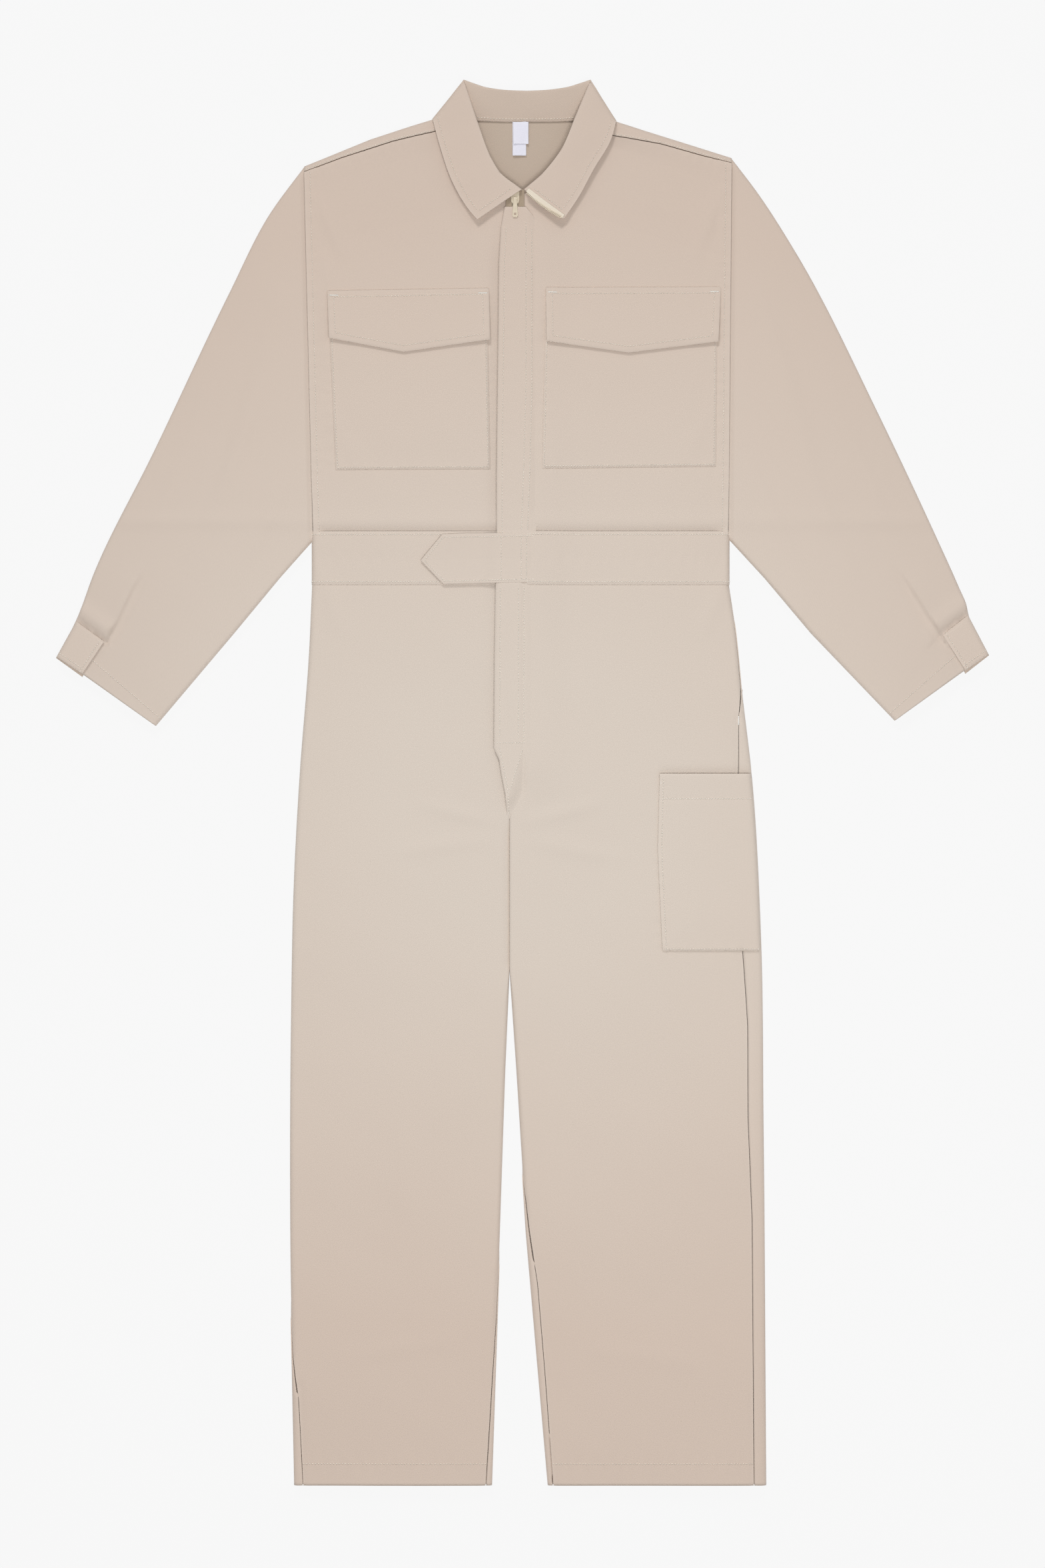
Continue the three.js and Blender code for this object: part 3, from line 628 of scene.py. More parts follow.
# Legs
legs = {
    "rows": 290, "columns": 92, "high": 217.0, "low": -759.0, "fold": 5.4, "knee": -400.0, "kneeHalf": 9.0,
    "hemStitch": 25.0, "groove": 0.8, "backEase": 1.2,
    "tuck": {"at": 9, "half": 6, "depth": 2.0, "from": (146, 152)},
    "lap": {"at": -13.9, "half": 5.0, "depth": 2.6, "from": (34, 60), "to": (190, 215)},
    "right": {
        "outer": [(-227.5, 217), (-231, 140), (-241, 10), (-247, -98), (-250.6, -270), (-251.3, -472),
                  (-246.2, -759)],
        "inner": [(-13.9, 217), (-13.9, -39), (-13.9, -202), (-18.7, -313), (-24.5, -486), (-33.8, -759)],
        "outSeam": [(217, -9), (-500, -6), (-620, 4), (-666, 9.6), (-759, 12.4)],
        "inSeam": [(217, 0), (-202, -6), (-480, -4), (-530, 1.5), (-640, 6), (-759, 9.3)],
    },
    "left": {
        "outer": [(222.5, 217), (230.4, 162), (236.9, 97), (247, 10), (257, -162), (260, -378),
                  (262.8, -759)],
        "inner": [(-3, 217), (-3, 60), (-14.1, -39), (-14.1, -202), (-6.5, -313), (4.3, -486), (28.1, -759)],
        "outSeam": [(217, 0), (106, 2), (71, 9.8), (10, 17.2), (-180, 23.4), (-262, 19.3), (-362, 19.7),
                    (-470, 16.3), (-759, 16)],
        "inSeam": [(217, 0), (-202, -6), (-400, -4), (-449, 4.4), (-541, 10.6), (-636, 10.2), (-759, 8.5)],
    },
}


def legPaths(side, rows, high, low):
    # The two folds of a leg at evenly spaced levels.
    levels = np.linspace(high, low, rows)
    paths = []
    for name, curve in (("inner", evenPath), ("outer", smoothPath)):
        path = curve(legs[side][name], 500)
        paths.append(np.stack([np.interp(-levels, -path[:, 1], path[:, 0]), levels], axis=1))
    return *paths, levels


def alongLeg(pairs, levels):
    # Values in straight stretches between pairs of level and value.
    table = np.array(pairs, float)
    return np.interp(-levels, -table[:, 0], table[:, 1])[:, None]


def buildLeg(side):
    # One flattened tube, parted at its two seams into front and back. The left front is tucked
    # above the tool pocket, and the right one sinks where it runs under the left one's edge.
    facts, groove, tuck, lap = legs[side], legs["groove"], legs["tuck"], legs["lap"]
    inner, outer, levels = legPaths(side, legs["rows"], legs["high"], legs["low"])
    innerRound = 0.3 + (legs["fold"] - 0.3) * fade(-levels, 196, 250)
    outSeam, inSeam = alongLeg(facts["outSeam"], levels), alongLeg(facts["inSeam"], levels)
    ends = [(0, (legs["knee"] + half) * mm, 0) for half in (legs["kneeHalf"], -legs["kneeHalf"])]
    faces = {
        "front": (lambda top: inSeam, lambda top: top - outSeam, 0.0),
        "back": (lambda top: top - outSeam + groove, lambda top: 2 * top + inSeam - groove, legs["backEase"]),
    }
    for face, (starts, stops, ease) in faces.items():
        points = laid(tube(inner, outer, starts, stops, legs["columns"], innerRound, legs["fold"],
                           tubeHigh, ease))
        x, y, upper = points[..., 0], points[..., 1], points[..., 2] > 6
        if side == "left":
            tucked = tuck["depth"] * hump(y, tuck["at"], tuck["half"]) * fade(x, *tuck["from"])
            points[..., 2] -= tucked * upper
        else:
            parted = fade(-y, *lap["from"]) * (1 - fade(-y, *lap["to"]))
            points[..., 2] -= lap["depth"] * parted * hump(x, lap["at"], lap["half"]) * upper
        nodes = [f"{face}_leg_upper_{side}", f"{face}_leg_lower_{side}"]
        sewCloth(f"leg_{face}_{side}", points, "lower_leg_" + side, nodes, ends=ends)
        if face == "front":
            hem = 1 - legs["hemStitch"] / (levels[0] - levels[-1])
            stitchRow("hem_stitches_" + side, gridLine(points, row=hem) + (0, 0, 0.2))
    sewRows("hem_stitches_" + side, "lower_leg_" + side)


for side in ("right", "left"):
    buildLeg(side)
print("legs ready")

# Bodice, yoke and waistband
bodice = {
    "groove": 0.6, "topstitch": 6.5, "edgeHigh": 0.9, "seamLow": 0.5, "underLeaf": 11.0, "underLeafUp": 3.4,
    "tuck": {"at": 270, "half": 6, "depth": 2.4, "from": (2, 12)},
    "right": {
        "out": -1, "armhole": [(-226, 268), (-228, 330), (-236, 660)],
        "seam": [(-94.5, 704), (-140, 693), (-196, 675), (-236, 660)],
        "centre": [(-13.9, 268), (-13.9, 634), (-30, 648), (-48, 664), (-70, 690), (-94.5, 704)],
        "shoulder": [(-97.5, 718), (-165, 696), (-236, 667)], "waist": [(-13.9, 268), (-226, 268)],
    },
    "left": {
        "out": 1, "armhole": [(222, 268), (223, 330), (226, 669.5)],
        "seam": [(98.6, 699.5), (150, 690), (192, 678), (226, 669.5)],
        "centre": [(-2.2, 268), (-2.2, 634), (30, 651), (50, 674), (68, 696), (98.6, 699.5)],
        "shoulder": [(101.5, 716), (131, 706), (226, 676)], "waist": [(-2.2, 268), (222, 268)],
    },
}


def buildBodice(side):
    # A patch at the height of the front, tucked at the waistband. The seam allowances lie under
    # the armhole edge, so it stands a little above the sleeve.
    facts, tuck = bodice[side], bodice["tuck"]
    out, seam = facts["out"], np.array(facts["seam"], float)
    plan = coons(facts["waist"], facts["seam"], 88, 180, facts["centre"], facts["armhole"])
    armGap, seamGap = gapTo(facts["armhole"], plan), gapTo(facts["seam"], plan)
    edge = bodice["edgeHigh"] * fade(armGap, 16, 9) - bodice["seamLow"] * fade(seamGap, 3.5, 0)
    tucked = tuck["depth"] * hump(plan[..., 1], tuck["at"], tuck["half"]) * fade(armGap, *tuck["from"])
    points = raised(plan, frontTop(plan[..., 0], plan[..., 1]) + edge - tucked)
    sewCloth("front_bodice_cloth_" + side, points, "garment", ["front_bodice_" + side], bevel=0.25)
    # The yoke's own strip runs on under the collar leaf, a groove away from the bodice, and is
    # rounded over at the shoulder.
    inward = np.array([-out * bodice["underLeaf"], bodice["underLeafUp"]])
    low = np.concatenate([[seam[0] + inward], seam]) + (0, bodice["groove"])
    high = np.array(facts["shoulder"], float)
    high = np.concatenate([[high[0] + inward], high])
    strip = coons(low, high, 64, 16)
    fold = drop(gapTo(facts["shoulder"], strip), 7.0)
    points = raised(strip, frontTop(strip[..., 0], strip[..., 1]) + 0.5 - fold)
    sewCloth("shoulder_yoke_" + side, points, "garment", [])
    arm = np.array(facts["armhole"]) - (out * bodice["topstitch"], 0)
    stitchRow("body_stitches", arm, lambda x, y: frontTop(x, y) + 1.0)
    stitchRow("body_stitches", seam + (0, 2.0), lambda x, y: frontTop(x, y) + 0.6)


def buildBacks():
    # Low sheets with a little of the lie. The yoke rises to the shoulders, and the band is the
    # lower side of a flattened tube.
    low = [(-234.5, 588), (224.5, 588)]
    top = [(-236, 662), (-165, 691), (-99, 712), (-60, 717), (62, 717), (101, 711), (131, 701), (226, 671)]
    plan = coons(low, top, 120, 44)
    away = np.abs(plan[..., 0]) > 95
    height = 3.4 + 0.35 * lie(plan[..., 0] + 300, plan[..., 1]) + 3.2 * away * fade(gapTo(top, plan), 9, 0)
    # painted shade: the yoke's inside takes a darker copy of the inside twill for the shade down the neck
    sewCloth("back_yoke_cloth", raised(plan, height), "garment", ["back_yoke"], yokeInsidePaintedShade)
    plan = coons([(-226, 269), (222, 269)], [(-234.5, 592), (224.5, 592)], 100, 80)
    height = 1.5 + 0.1 * lie(plan[..., 0], plan[..., 1] + 200)
    sewCloth("back_bodice_cloth", raised(plan, height), "garment", ["back_bodice"], twillInside)
    inner, outer = (np.stack([np.full(20, x), np.linspace(273, 213.5, 20)], axis=1) for x in (-227.0, 223.0))
    points = tube(inner, outer, lambda t: t + 4.0, lambda t: 2 * t - 4.0, 90, 5.6, 5.6, frontHeight + 0.2)
    sewCloth("back_waistband_cloth", points, "garment", ["back_waistband"], up=-1)


waistband = {
    "top": 272.0, "low": 214.0, "rows": 34, "lift": 1.0, "stitchIn": 3.2, "swell": 0.25,
    "right": {"inner": -13.9, "outer": -228.0}, "left": {"inner": -2.2, "outer": 224.0},
}


def buildWaistband(side):
    # The top of a flattened tube, folded over at its side: it laps over the bodice above and the
    # leg below, its edges rounded and its middle swelling as a sine.
    rows, facts, high, low = waistband["rows"], waistband[side], waistband["top"], waistband["low"]
    levels = np.linspace(high, low, rows)
    inner, outer = (np.stack([np.full(rows, facts[end]), levels], axis=1) for end in ("inner", "outer"))
    points = tube(inner, outer, lambda t: 0 * t, lambda t: t + 6.0, 110, 0.3, 5.8, frontHeight - 0.2)
    points = laid(points, waistband["lift"])
    edge = np.minimum(high - points[..., 1], points[..., 1] - low)
    swell = waistband["swell"] * np.sin(math.pi * np.clip(edge / ((high - low) / 2), 0, 1))
    points[..., 2] -= drop(edge, 0.8) * (points[..., 2] > 5) - swell
    sewCloth("waistband_cloth_" + side, points, "garment", ["waistband_" + side], bevel=0.25)
    share = waistband["stitchIn"] / (high - low)
    for row in (share, 1 - share):
        stitchRow("body_stitches", gridLine(points, row=row)[:-3] + (0, 0, 0.22), pitch=2.9)


for side in ("right", "left"):
    buildBodice(side)
buildBacks()
for side in ("right", "left"):
    buildWaistband(side)
print("body ready")

# Sleeves and cuffs
sleeves = {
    "rows": 190, "columns": 150, "fold": 5.4, "hemStitch": 16.0, "long": 430.0,
    "pleatHigh": 2.6, "pleatLong": 103, "puff": 3.4, "puffAt": 13, "groove": 2.2,
    "grooveAt": 1.5, "armLow": 1.7,
    "right": {
        "out": -1,
        "outer": [(-235.5, 667), (-273.5, 615), (-317.5, 529), (-400, 356), (-464, 226), (-482, 178),
                  (-503, 137)],
        "under": [(-226.5, 262), (-262, 222), (-312, 161.6), (-396.5, 61.6)],
        "bandOuter": [(-482.5, 175.3), (-504, 136.4)], "bandInner": [(-451, 152.3), (-474.7, 117)],
        "pleat": [(-403, 244), (-411, 227), (-420.5, 211), (-430.6, 190.4), (-439.2, 171.7), (-452.5, 150)],
        "armhole": [(-236, 667), (-227.5, 259)],
    },
    "left": {
        "out": 1,
        "outer": [(225.5, 676), (255, 637), (296.5, 572), (385, 399), (446, 269.6), (472, 212), (480, 193),
                  (482.5, 182), (503.5, 140)],
        "under": [(222.5, 264), (262, 221), (312, 161.6), (402.5, 67.3)],
        "bandOuter": [(481.7, 181.8), (504, 139.3)], "bandInner": [(452.7, 159.5), (477.8, 120.6)],
        "pleat": [(398, 243), (409.7, 226.4), (423, 206), (436, 184.7), (454, 157)],
        "armhole": [(226, 676), (223.7, 261)],
    },
}
cuff = {"rows": 26, "columns": 54, "deep": 44.0, "lift": 1.3, "swell": 0.5, "underHigh": 6.2}


def buildSleeve(side):
    # A flattened tube between its outer fold and its underarm. Its top steps up along the pleat
    # and dies away, puffs and sinks as humps above the band, and sinks along the armhole.
    facts, fold = sleeves[side], sleeves["fold"]
    under, outer = evenPath(facts["under"], sleeves["rows"]), smoothPath(facts["outer"], sleeves["rows"])
    points = laid(tube(under, outer, lambda t: 0 * t - 1.0, lambda t: 2 * t - 1.6, sleeves["columns"],
                       fold, fold, tubeHigh))
    x, y = points[..., 0], points[..., 1]
    upper = fade(points[..., 2], 6, 10)
    gap, way, run = nearPath(facts["pleat"], x, y)
    signed = gap * way * facts["out"]
    step = fade(signed, -0.9, 0.9) * np.exp(-np.maximum(signed, 0) / 16) - 0.5 * hump(signed, -5, 5)
    near = (gap < 60) * (run < sleeves["pleatLong"])
    points[..., 2] += upper * sleeves["pleatHigh"] * step * fade(run, 0, 50) * near
    gap, way, run = nearPath([facts["bandOuter"][0], facts["bandInner"][0]], x, y)
    puff = hump(gap, sleeves["puffAt"], 8) * (way * facts["out"] < 0) * fade(run, 39, 32)
    groove = hump(gap, sleeves["grooveAt"], 2.4) * (run < 40)
    points[..., 2] += upper * (sleeves["puff"] * puff - sleeves["groove"] * groove)
    points[..., 2] -= upper * sleeves["armLow"] * fade(gapTo(facts["armhole"], points), 6, 0)
    tip, low = np.array(facts["armhole"], float)
    middle, along = (tip + low) / 2, (low - tip) / np.linalg.norm(low - tip)
    away = np.array([along[1], -along[0]])
    away *= facts["out"] * np.sign(away[0])
    ends = [(*((middle + far * away) * mm), 0) for far in (-2, 12)]
    nodes = ["sleeve_front_" + side, "sleeve_back_" + side]
    sewCloth("sleeve_cloth_" + side, points, "sleeve_" + side, nodes, ends=ends, closed=True)
    line = gridLine(points, row=1 - sleeves["hemStitch"] / sleeves["long"])
    onTop = (line[:, 2] > frontHeight - 3) & (np.abs(line[:, 0]) < abs(facts["bandInner"][1][0]) - 8)
    stitchRow("cuff_stitches_" + side, line[onTop] + (0, 0, 0.2))
    buildCuff(side, facts)
    buildCuffUnder(side, facts)


def buildCuffUnder(side, facts):
    # The band's lower layer shows as a narrow darker edge past the upper one.
    first, outer = np.array(facts["bandOuter"], float)
    inner = np.array(facts["bandInner"][1], float)
    down = (outer - first) / np.linalg.norm(outer - first)
    plan = coons([outer - 6 * down, inner - 6 * down], [outer + 1.4 * down, inner + 2.8 * down], 30, 10)
    points = raised(plan, cuff["underHigh"] + 0.3 * np.sin(plan[..., 0] / 6))
    sewCloth("cuff_under_cloth_" + side, points, "sleeve_" + side, [], twillInside, "twill_inside")


def buildCuff(side, facts):
    # The band is part of a flattened tube that wraps over the outer fold; its edges are rounded
    # and its middle swells as a sine. Its seam edge is pressed flat.
    rows, deep, body = cuff["rows"], cuff["deep"], "sleeve_" + side
    outer, inner = evenPath(facts["bandOuter"], rows), evenPath(facts["bandInner"], rows)
    wide = np.linalg.norm(outer - inner, axis=1)[:, None]
    far = outer + (inner - outer) * (1 + 30 / wide)
    points = tube(far, outer, lambda t: t - wide - 2.4, lambda t: t + 34.0, cuff["columns"], 0.3, 6.0,
                  frontHeight + 0.6)
    upper = fade(points[..., 2], 6, 10)
    points[..., 2] += upper * (lie(points[..., 0], points[..., 1]) + cuff["lift"])
    down = np.linspace(0, 1, rows)[:, None] * deep
    points[..., 2] -= upper * (drop(down, 2.0) + drop(deep - down, 1.0))
    points[..., 2] += upper * cuff["swell"] * np.sin(math.pi * down / deep)
    sewCloth("cuff_cloth_" + side, points, body, ["cuff_band_" + side], bevel=0.3)
    stitchRow("cuff_stitches_" + side, gridLine(points, column=0.06) + (0, 0, 0.2), pitch=3.0)
    line = gridLine(points, row=0.9)
    stitchRow("cuff_stitches_" + side, line[line[:, 2] > frontHeight - 1] + (0, 0, 0.2))
    sewRows("cuff_stitches_" + side, body)


for side in ("right", "left"):
    buildSleeve(side)
print("sleeves ready")

# Collar
collar = {
    "top": level("collar_leaf_left") - 0.7, "neckSeam": 716.0, "stitchIn": 7.0,
    "dip": [(-63.5, 759), (-40, 751), (5, 747), (48, 751), (73.5, 759)],
    "right": {
        "roll": [(-63.5, 759), (-49, 715), (-34.6, 676), (-24.5, 659), (-0.7, 640.4)],
        "edge": [(-97.5, 718), (-89, 686.5), (-75, 647), (-57.5, 618), (-49, 608)],
        "neck": [(-97.5, 716), (-88, 700), (-70, 690), (-48, 664), (-30, 650), (-4, 638)],
    },
    "left": {
        "roll": [(73.5, 759), (58.3, 722.5), (41.8, 683.6), (20.9, 657), (1.4, 640.4)],
        "edge": [(101.5, 716), (96, 695.5), (77, 662.4), (59.8, 631), (44.6, 608.8)],
        "neck": [(101.5, 714), (88, 700), (68, 696), (50, 674), (30, 651), (4, 638)],
    },
}


def leafHeight(facts, x, y):
    # Level along the roll, rounded over at it, and falling towards the outer edge.
    rollGap = nearPath(facts["roll"], x, y)[0]
    edgeGap = nearPath(facts["edge"], x, y)[0]
    notch = facts["roll"][-1]
    settled = fade(np.hypot(x - notch[0], y - notch[1]), 16, 52)
    fall = 2.7 * fade(rollGap / (rollGap + edgeGap + 1e-6), 0.15, 1.0) * settled
    topGap = nearPath([facts["roll"][0], facts["edge"][0]], x, y)[0]
    wave = 0.35 * np.sin(x / 13 + y / 17) + 0.2 * np.sin(y / 7 - x / 19)
    return collar["top"] - fall - drop(rollGap, 1.8) - drop(topGap, 7.0) + wave * settled


def buildCollar(side):
    # The leaf is a patch between its roll and its outer edge. The stand is ruled from the roll to
    # the neck, sinking evenly and rounded over at the roll.
    facts, body, rows = collar[side], "collar_leaf_" + side, "leaf_stitches_" + side
    roll, edge = smoothPath(facts["roll"], 110), smoothPath(facts["edge"], 110)
    top, low = [facts["roll"][0], facts["edge"][0]], [facts["roll"][-1], facts["edge"][-1]]
    plan = coons(top, low, 44, 110, roll, edge)
    points = raised(plan, leafHeight(facts, plan[..., 0], plan[..., 1]))
    sewCloth("collar_leaf_cloth_" + side, points, body, [body], held="folded", thick=1.3, bevel=0.4)
    over = lambda x, y: leafHeight(facts, x, y) + 0.2
    wide = np.linalg.norm(roll - edge, axis=1)[:, None]
    stitchRow(rows, (edge + (roll - edge) * collar["stitchIn"] / wide)[4:-8], over)
    front = evenPath(low, 40)
    along = front[-1] - front[0]
    normal = np.array([-along[1], along[0]]) / np.linalg.norm(along)
    normal *= np.sign(normal[1])
    stitchRow(rows, (front + normal * collar["stitchIn"])[6:-5], over)
    sewRows(rows, body)
    plan, share = ruled(smoothPath(facts["roll"], 90), smoothPath(facts["neck"], 90), 24)
    points = raised(plan, 15.4 - 3.2 * share - 2.0 * (1 - fade(share, 0, 0.2)))
    sewCloth("collar_stand_cloth_" + side, points, "garment", ["collar_stand_" + side], twillInside,
             "twill_inside")


def buildCollarBack():
    # The stand rises as a power of its share from the neck seam to the dip of its fold, where it
    # is rounded over. The fall behind it is high only beside its edges.
    seam, dip = collar["neckSeam"], smoothPath(collar["dip"], 90)
    plan = coons([(-52, seam), (-20, seam - 1), (30, seam - 1), (62, seam)], dip, 90, 34)
    up = np.linspace(0, 1, 34)[:, None]
    wave = 0.4 * np.sin(plan[..., 0] / 11) * up * (1 - up) * 4
    points = raised(plan, 4.7 + 11.3 * up**0.8 - drop(gapTo(collar["dip"], plan), 2.2) + wave)
    sewCloth("collar_stand_cloth_back", points, "garment", ["collar_stand_back"], twillInside, held="folded")
    stitchRow("neck_stitches", gridLine(points, row=0.08)[3:-3] + (0, 0, 0.2))
    low = [(-97.5, 716), (101.5, 714)]
    plan = coons(low, dip, 90, 30)
    gap = gapTo([low[0], *dip, low[1]], plan)
    points = raised(plan, 1.2 + 13.5 * (1 - fade(gap, 0, 9)) * np.linspace(0.2, 1, 30)[:, None])
    sewCloth("collar_fall_cloth_back", points, "garment", ["collar_fall_back"], held="folded", up=-1)
    sewRows("neck_stitches", "garment")


for side in ("right", "left"):
    buildCollar(side)
buildCollarBack()

# Labels
labels = {
    "brand_label": {"from": -10.0, "to": 6.5, "top": 715.0, "low": 691.0, "height": 5.6},
    "care_label": {"from": -10.8, "to": 4.0, "top": 715.5, "low": 678.5, "height": 4.9},
}


def buildLabel(name):
    # A strip that curls up as the square of the way down, with a slow sine across it.
    facts = labels[name]
    low, top = ([(facts["from"], facts[end]), (facts["to"], facts[end])] for end in ("low", "top"))
    plan = coons(low, top, 20, 34)
    down = (facts["top"] - plan[..., 1]) / (facts["top"] - facts["low"])
    curl = 0.9 * down**2 + 0.35 * np.sin(plan[..., 0] / 3.5 + 4 * down)
    points = raised(plan, facts["height"] + curl)
    sewCloth(name + "_satin", points, "garment", [name], satin, "label_satin", "hung", thick=0.3)


for name in labels:
    buildLabel(name)
print("collar and labels ready")

# Chest pockets, flaps, tool pocket and hip bags
pockets = {
    "right": {
        "flap": [(-211, 531.7), (-36, 534.6), (-34.8, 478.4), (-128.5, 465), (-209, 480)],
        "pocket": [(-210.5, 528), (-38, 530), (-34.6, 339), (-202, 338)],
    },
    "left": {
        "flap": [(25.2, 534.9), (214.6, 536), (211.7, 476.3), (114.5, 464), (25.9, 476.3)],
        "pocket": [(25, 530), (211, 531), (209.2, 341.6), (20.9, 339.5)],
    },
    "patchLift": 1.6, "flapLift": 2.9, "flapFall": 2.9, "flapStitch": 7.0, "patchStitch": 2.6,
    "tackHalf": 4.5,
}


def buildChest(side):
    # The pocket is a patch over the front, rounded down at its rim and fuller inside. The flap is
    # a patch over that, low at its hinge and standing higher over the pocket's mouth.
    facts, body = pockets[side], "chest_flap_" + side
    a, b, c, d = facts["pocket"]
    plan = coons([d, c], [a, b], 76, 80)
    gap = gapTo([b, c, d, a], plan)
    lift = pockets["patchLift"] - drop(gap, 1.1) + 0.9 * fade(gap, 4, 40)
    points = raised(plan, frontTop(plan[..., 0], plan[..., 1]) + lift)
    sewCloth("chest_pocket_cloth_" + side, points, "garment", ["chest_pocket_" + side], bevel=0.25)
    near = inset([a, b, c, d], pockets["patchStitch"])
    stitchRow("body_stitches", [near[0], near[3], near[2], near[1]],
              lambda u, v: frontTop(u, v) + pockets["patchLift"] + stitch["lift"], pitch=3.0)
    topL, topR, lowR, point, lowL = facts["flap"]

    def flapTop(u, v):
        down = topL[1] - v
        risen = pockets["flapLift"] + pockets["flapFall"] * fade(down, 0, 60)
        return frontTop(u, v) + risen - 1.0 * (1 - fade(down, 0, 7))

    plan = coons([lowL, point, lowR], [topL, topR], 84, 34)
    rim, hinge = gapTo([topL, lowL, point, lowR, topR], plan), gapTo([topL, topR], plan)
    points = raised(plan, flapTop(plan[..., 0], plan[..., 1]) - drop(rim, 0.7) - drop(hinge, 0.8))
    sewCloth("chest_flap_cloth_" + side, points, body, [body], held="folded", thick=1.2, bevel=0.3)
    ring = inset(facts["flap"], pockets["flapStitch"])
    over = lambda u, v: flapTop(u, v) + stitch["lift"]
    stitchRow("flap_stitches_" + side, [*ring, ring[0]], over)
    sewRows("flap_stitches_" + side, body)
    for corner, half in ((ring[0], pockets["tackHalf"]), (ring[1], -pockets["tackHalf"])):
        bartack("flap_tacks_" + side, corner + (-half, 1.5), corner + (half, 1.5), over)
    sewRows("flap_tacks_" + side, body, tackThread, tack)


for side in ("right", "left"):
    buildChest(side)

toolPocket = {
    "high": 10.0, "low": -181.5, "lift": 2.3, "columns": 56, "rows": 80, "wrap": 7.0, "mouth": 27.0,
    "inner": [(10, 146.9), (-71, 144.7), (-181.5, 149.8)],
}


def buildToolPocket():
    # Part of a flattened tube over the leg's own, wrapped round the outer fold, with its rim
    # rounded down, its mouth standing open a little and a shallow channel below it.
    facts = toolPocket
    inner, outer, levels = legPaths("left", facts["rows"], facts["high"], facts["low"])
    edge = alongLeg(facts["inner"], levels)
    width = outer[:, :1] - edge
    points = tube(inner, outer, lambda t: t - width - 2.0, lambda t: t + facts["wrap"], facts["columns"],
                  5.4, 5.9, frontHeight + 0.4)
    down = facts["high"] - points[..., 1]
    edges = np.minimum(points[..., 0] - edge, points[..., 1] - facts["low"])
    points = laid(points, facts["lift"] - 0.8)
    puff = (0.8 * fade(edges, 4, 40) + 1.0 * fade(down, 30, 0) - drop(np.maximum(edges, 0), 1.1)
            - 0.25 * hump(down, facts["mouth"], 2.5))
    points[..., 2] += puff * (points[..., 2] > 8)
    sewCloth("tool_pocket_cloth", points, "garment", ["tool_pocket"], bevel=0.25)
    deep = facts["high"] - facts["low"]
    for share in (facts["mouth"] / deep, 1 - 3 / deep):
        line = gridLine(points, row=share)[2:]
        stitchRow("body_stitches", line[line[:, 2] > frontHeight - 1] + (0, 0, 0.25), pitch=3.0)
    sideLine = gridLine(points, column=2.4 / facts["columns"])
    stitchRow("body_stitches", sideLine[2:] + (0, 0, 0.3), pitch=3.0)
    over = lambda u, v: frontTop(u, v) + facts["lift"] + 0.3
    bartack("body_tacks", (149.5, 8.5), (149.5, -0.5), over)
    bartack("body_tacks", (231, 0.5), (243, 0.5), lambda u, v: over(u, v) - 0.6)
    bartack("body_tacks", (233.5, 72), (233.5, 63), lambda u, v: frontTop(u, v) + 0.2)
    sewRows("body_tacks", "garment", tackThread, tack)


hipMouth = {"edge": [(237.4, 101), (233.8, 71)], "lift": -0.2, "short": 0.3}


def buildHipMouth():
    # The welt of the side pocket, ruled from its edge to the leg's outer fold and rounded there.
    _, outer, levels = legPaths("left", 60, 110, 60)
    foldAt = lambda y: np.interp(-y, -levels, outer[:, 0])
    edge = evenPath(hipMouth["edge"], 24)
    plan, share = ruled(edge, np.stack([foldAt(edge[:, 1]) - hipMouth["short"], edge[:, 1]], axis=1), 10)
    x, y = plan[..., 0], plan[..., 1]
    height = frontTop(x, y) - drop(np.maximum(foldAt(y) - x, 0), legs["fold"]) + hipMouth["lift"]
    points = raised(plan, height - 0.5 * (1 - fade(share, 0, 0.2)))
    sewCloth("hip_mouth_cloth", points, "garment", [], thick=0.8, bevel=0.2)


hipBag = {"height": 7.6, "bow": 18.0}


def buildHipBag(side):
    # A level bag of lining with a bowed foot behind the front of the leg, hidden as the suit lies.
    low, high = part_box("hip_pocket_bag_" + side)
    x0, x1, y0, y1 = low.x / mm, high.x / mm, low.y / mm, high.y / mm
    foot = [(x0, y0 + hipBag["bow"]), ((x0 + x1) / 2, y0), (x1, y0 + hipBag["bow"])]
    plan = coons(foot, [(x0, y1), (x1, y1)], 40, 40)
    points = raised(plan, hipBag["height"] + 0.25 * np.sin(plan[..., 0] / 14) * np.sin(plan[..., 1] / 17))
    sewCloth("hip_bag_cloth_" + side, points, "garment", ["hip_pocket_bag_" + side], twillInside,
             "twill_inside", "hung", thick=0.7)


buildToolPocket()
buildHipMouth()
for side in ("right", "left"):
    buildHipBag(side)
print("pockets ready")

# Zip
zipper = {
    "middle": -8.0, "tapeIn": 3.3, "tapeOut": 10.1, "tapeEnd": 4.6, "narrowed": 22, "teeth": 3.2,
    "tapeZ": level("zip_tape_left"), "pitch": 1.6, "toothHalf": 0.9,
    "tooth": [(0, -0.45), (1.5, -0.35), (2.1, -0.6), (2.9, -0.3), (2.9, 0.3), (2.1, 0.6),
              (1.5, 0.35), (0, 0.45)],
}


def softened(node, material, width, body):
    # A merged copy of a frame node with small rounded edges.
    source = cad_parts[node]
    mesh = source.data.copy()
    shell = bmesh.new()
    shell.from_mesh(mesh)
    bmesh.ops.remove_doubles(shell, verts=shell.verts, dist=1e-6)
    bmesh.ops.dissolve_limit(shell, angle_limit=0.02, verts=shell.verts, edges=shell.edges)
    shell.to_mesh(mesh)
    shell.free()
    mesh.transform(source.matrix_world)
    mesh.materials.clear()
    mesh.materials.append(material)
    made = addObject(node + "_finished", mesh)
    rounded(made, width, 35)
    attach(made, body)
    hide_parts(node)


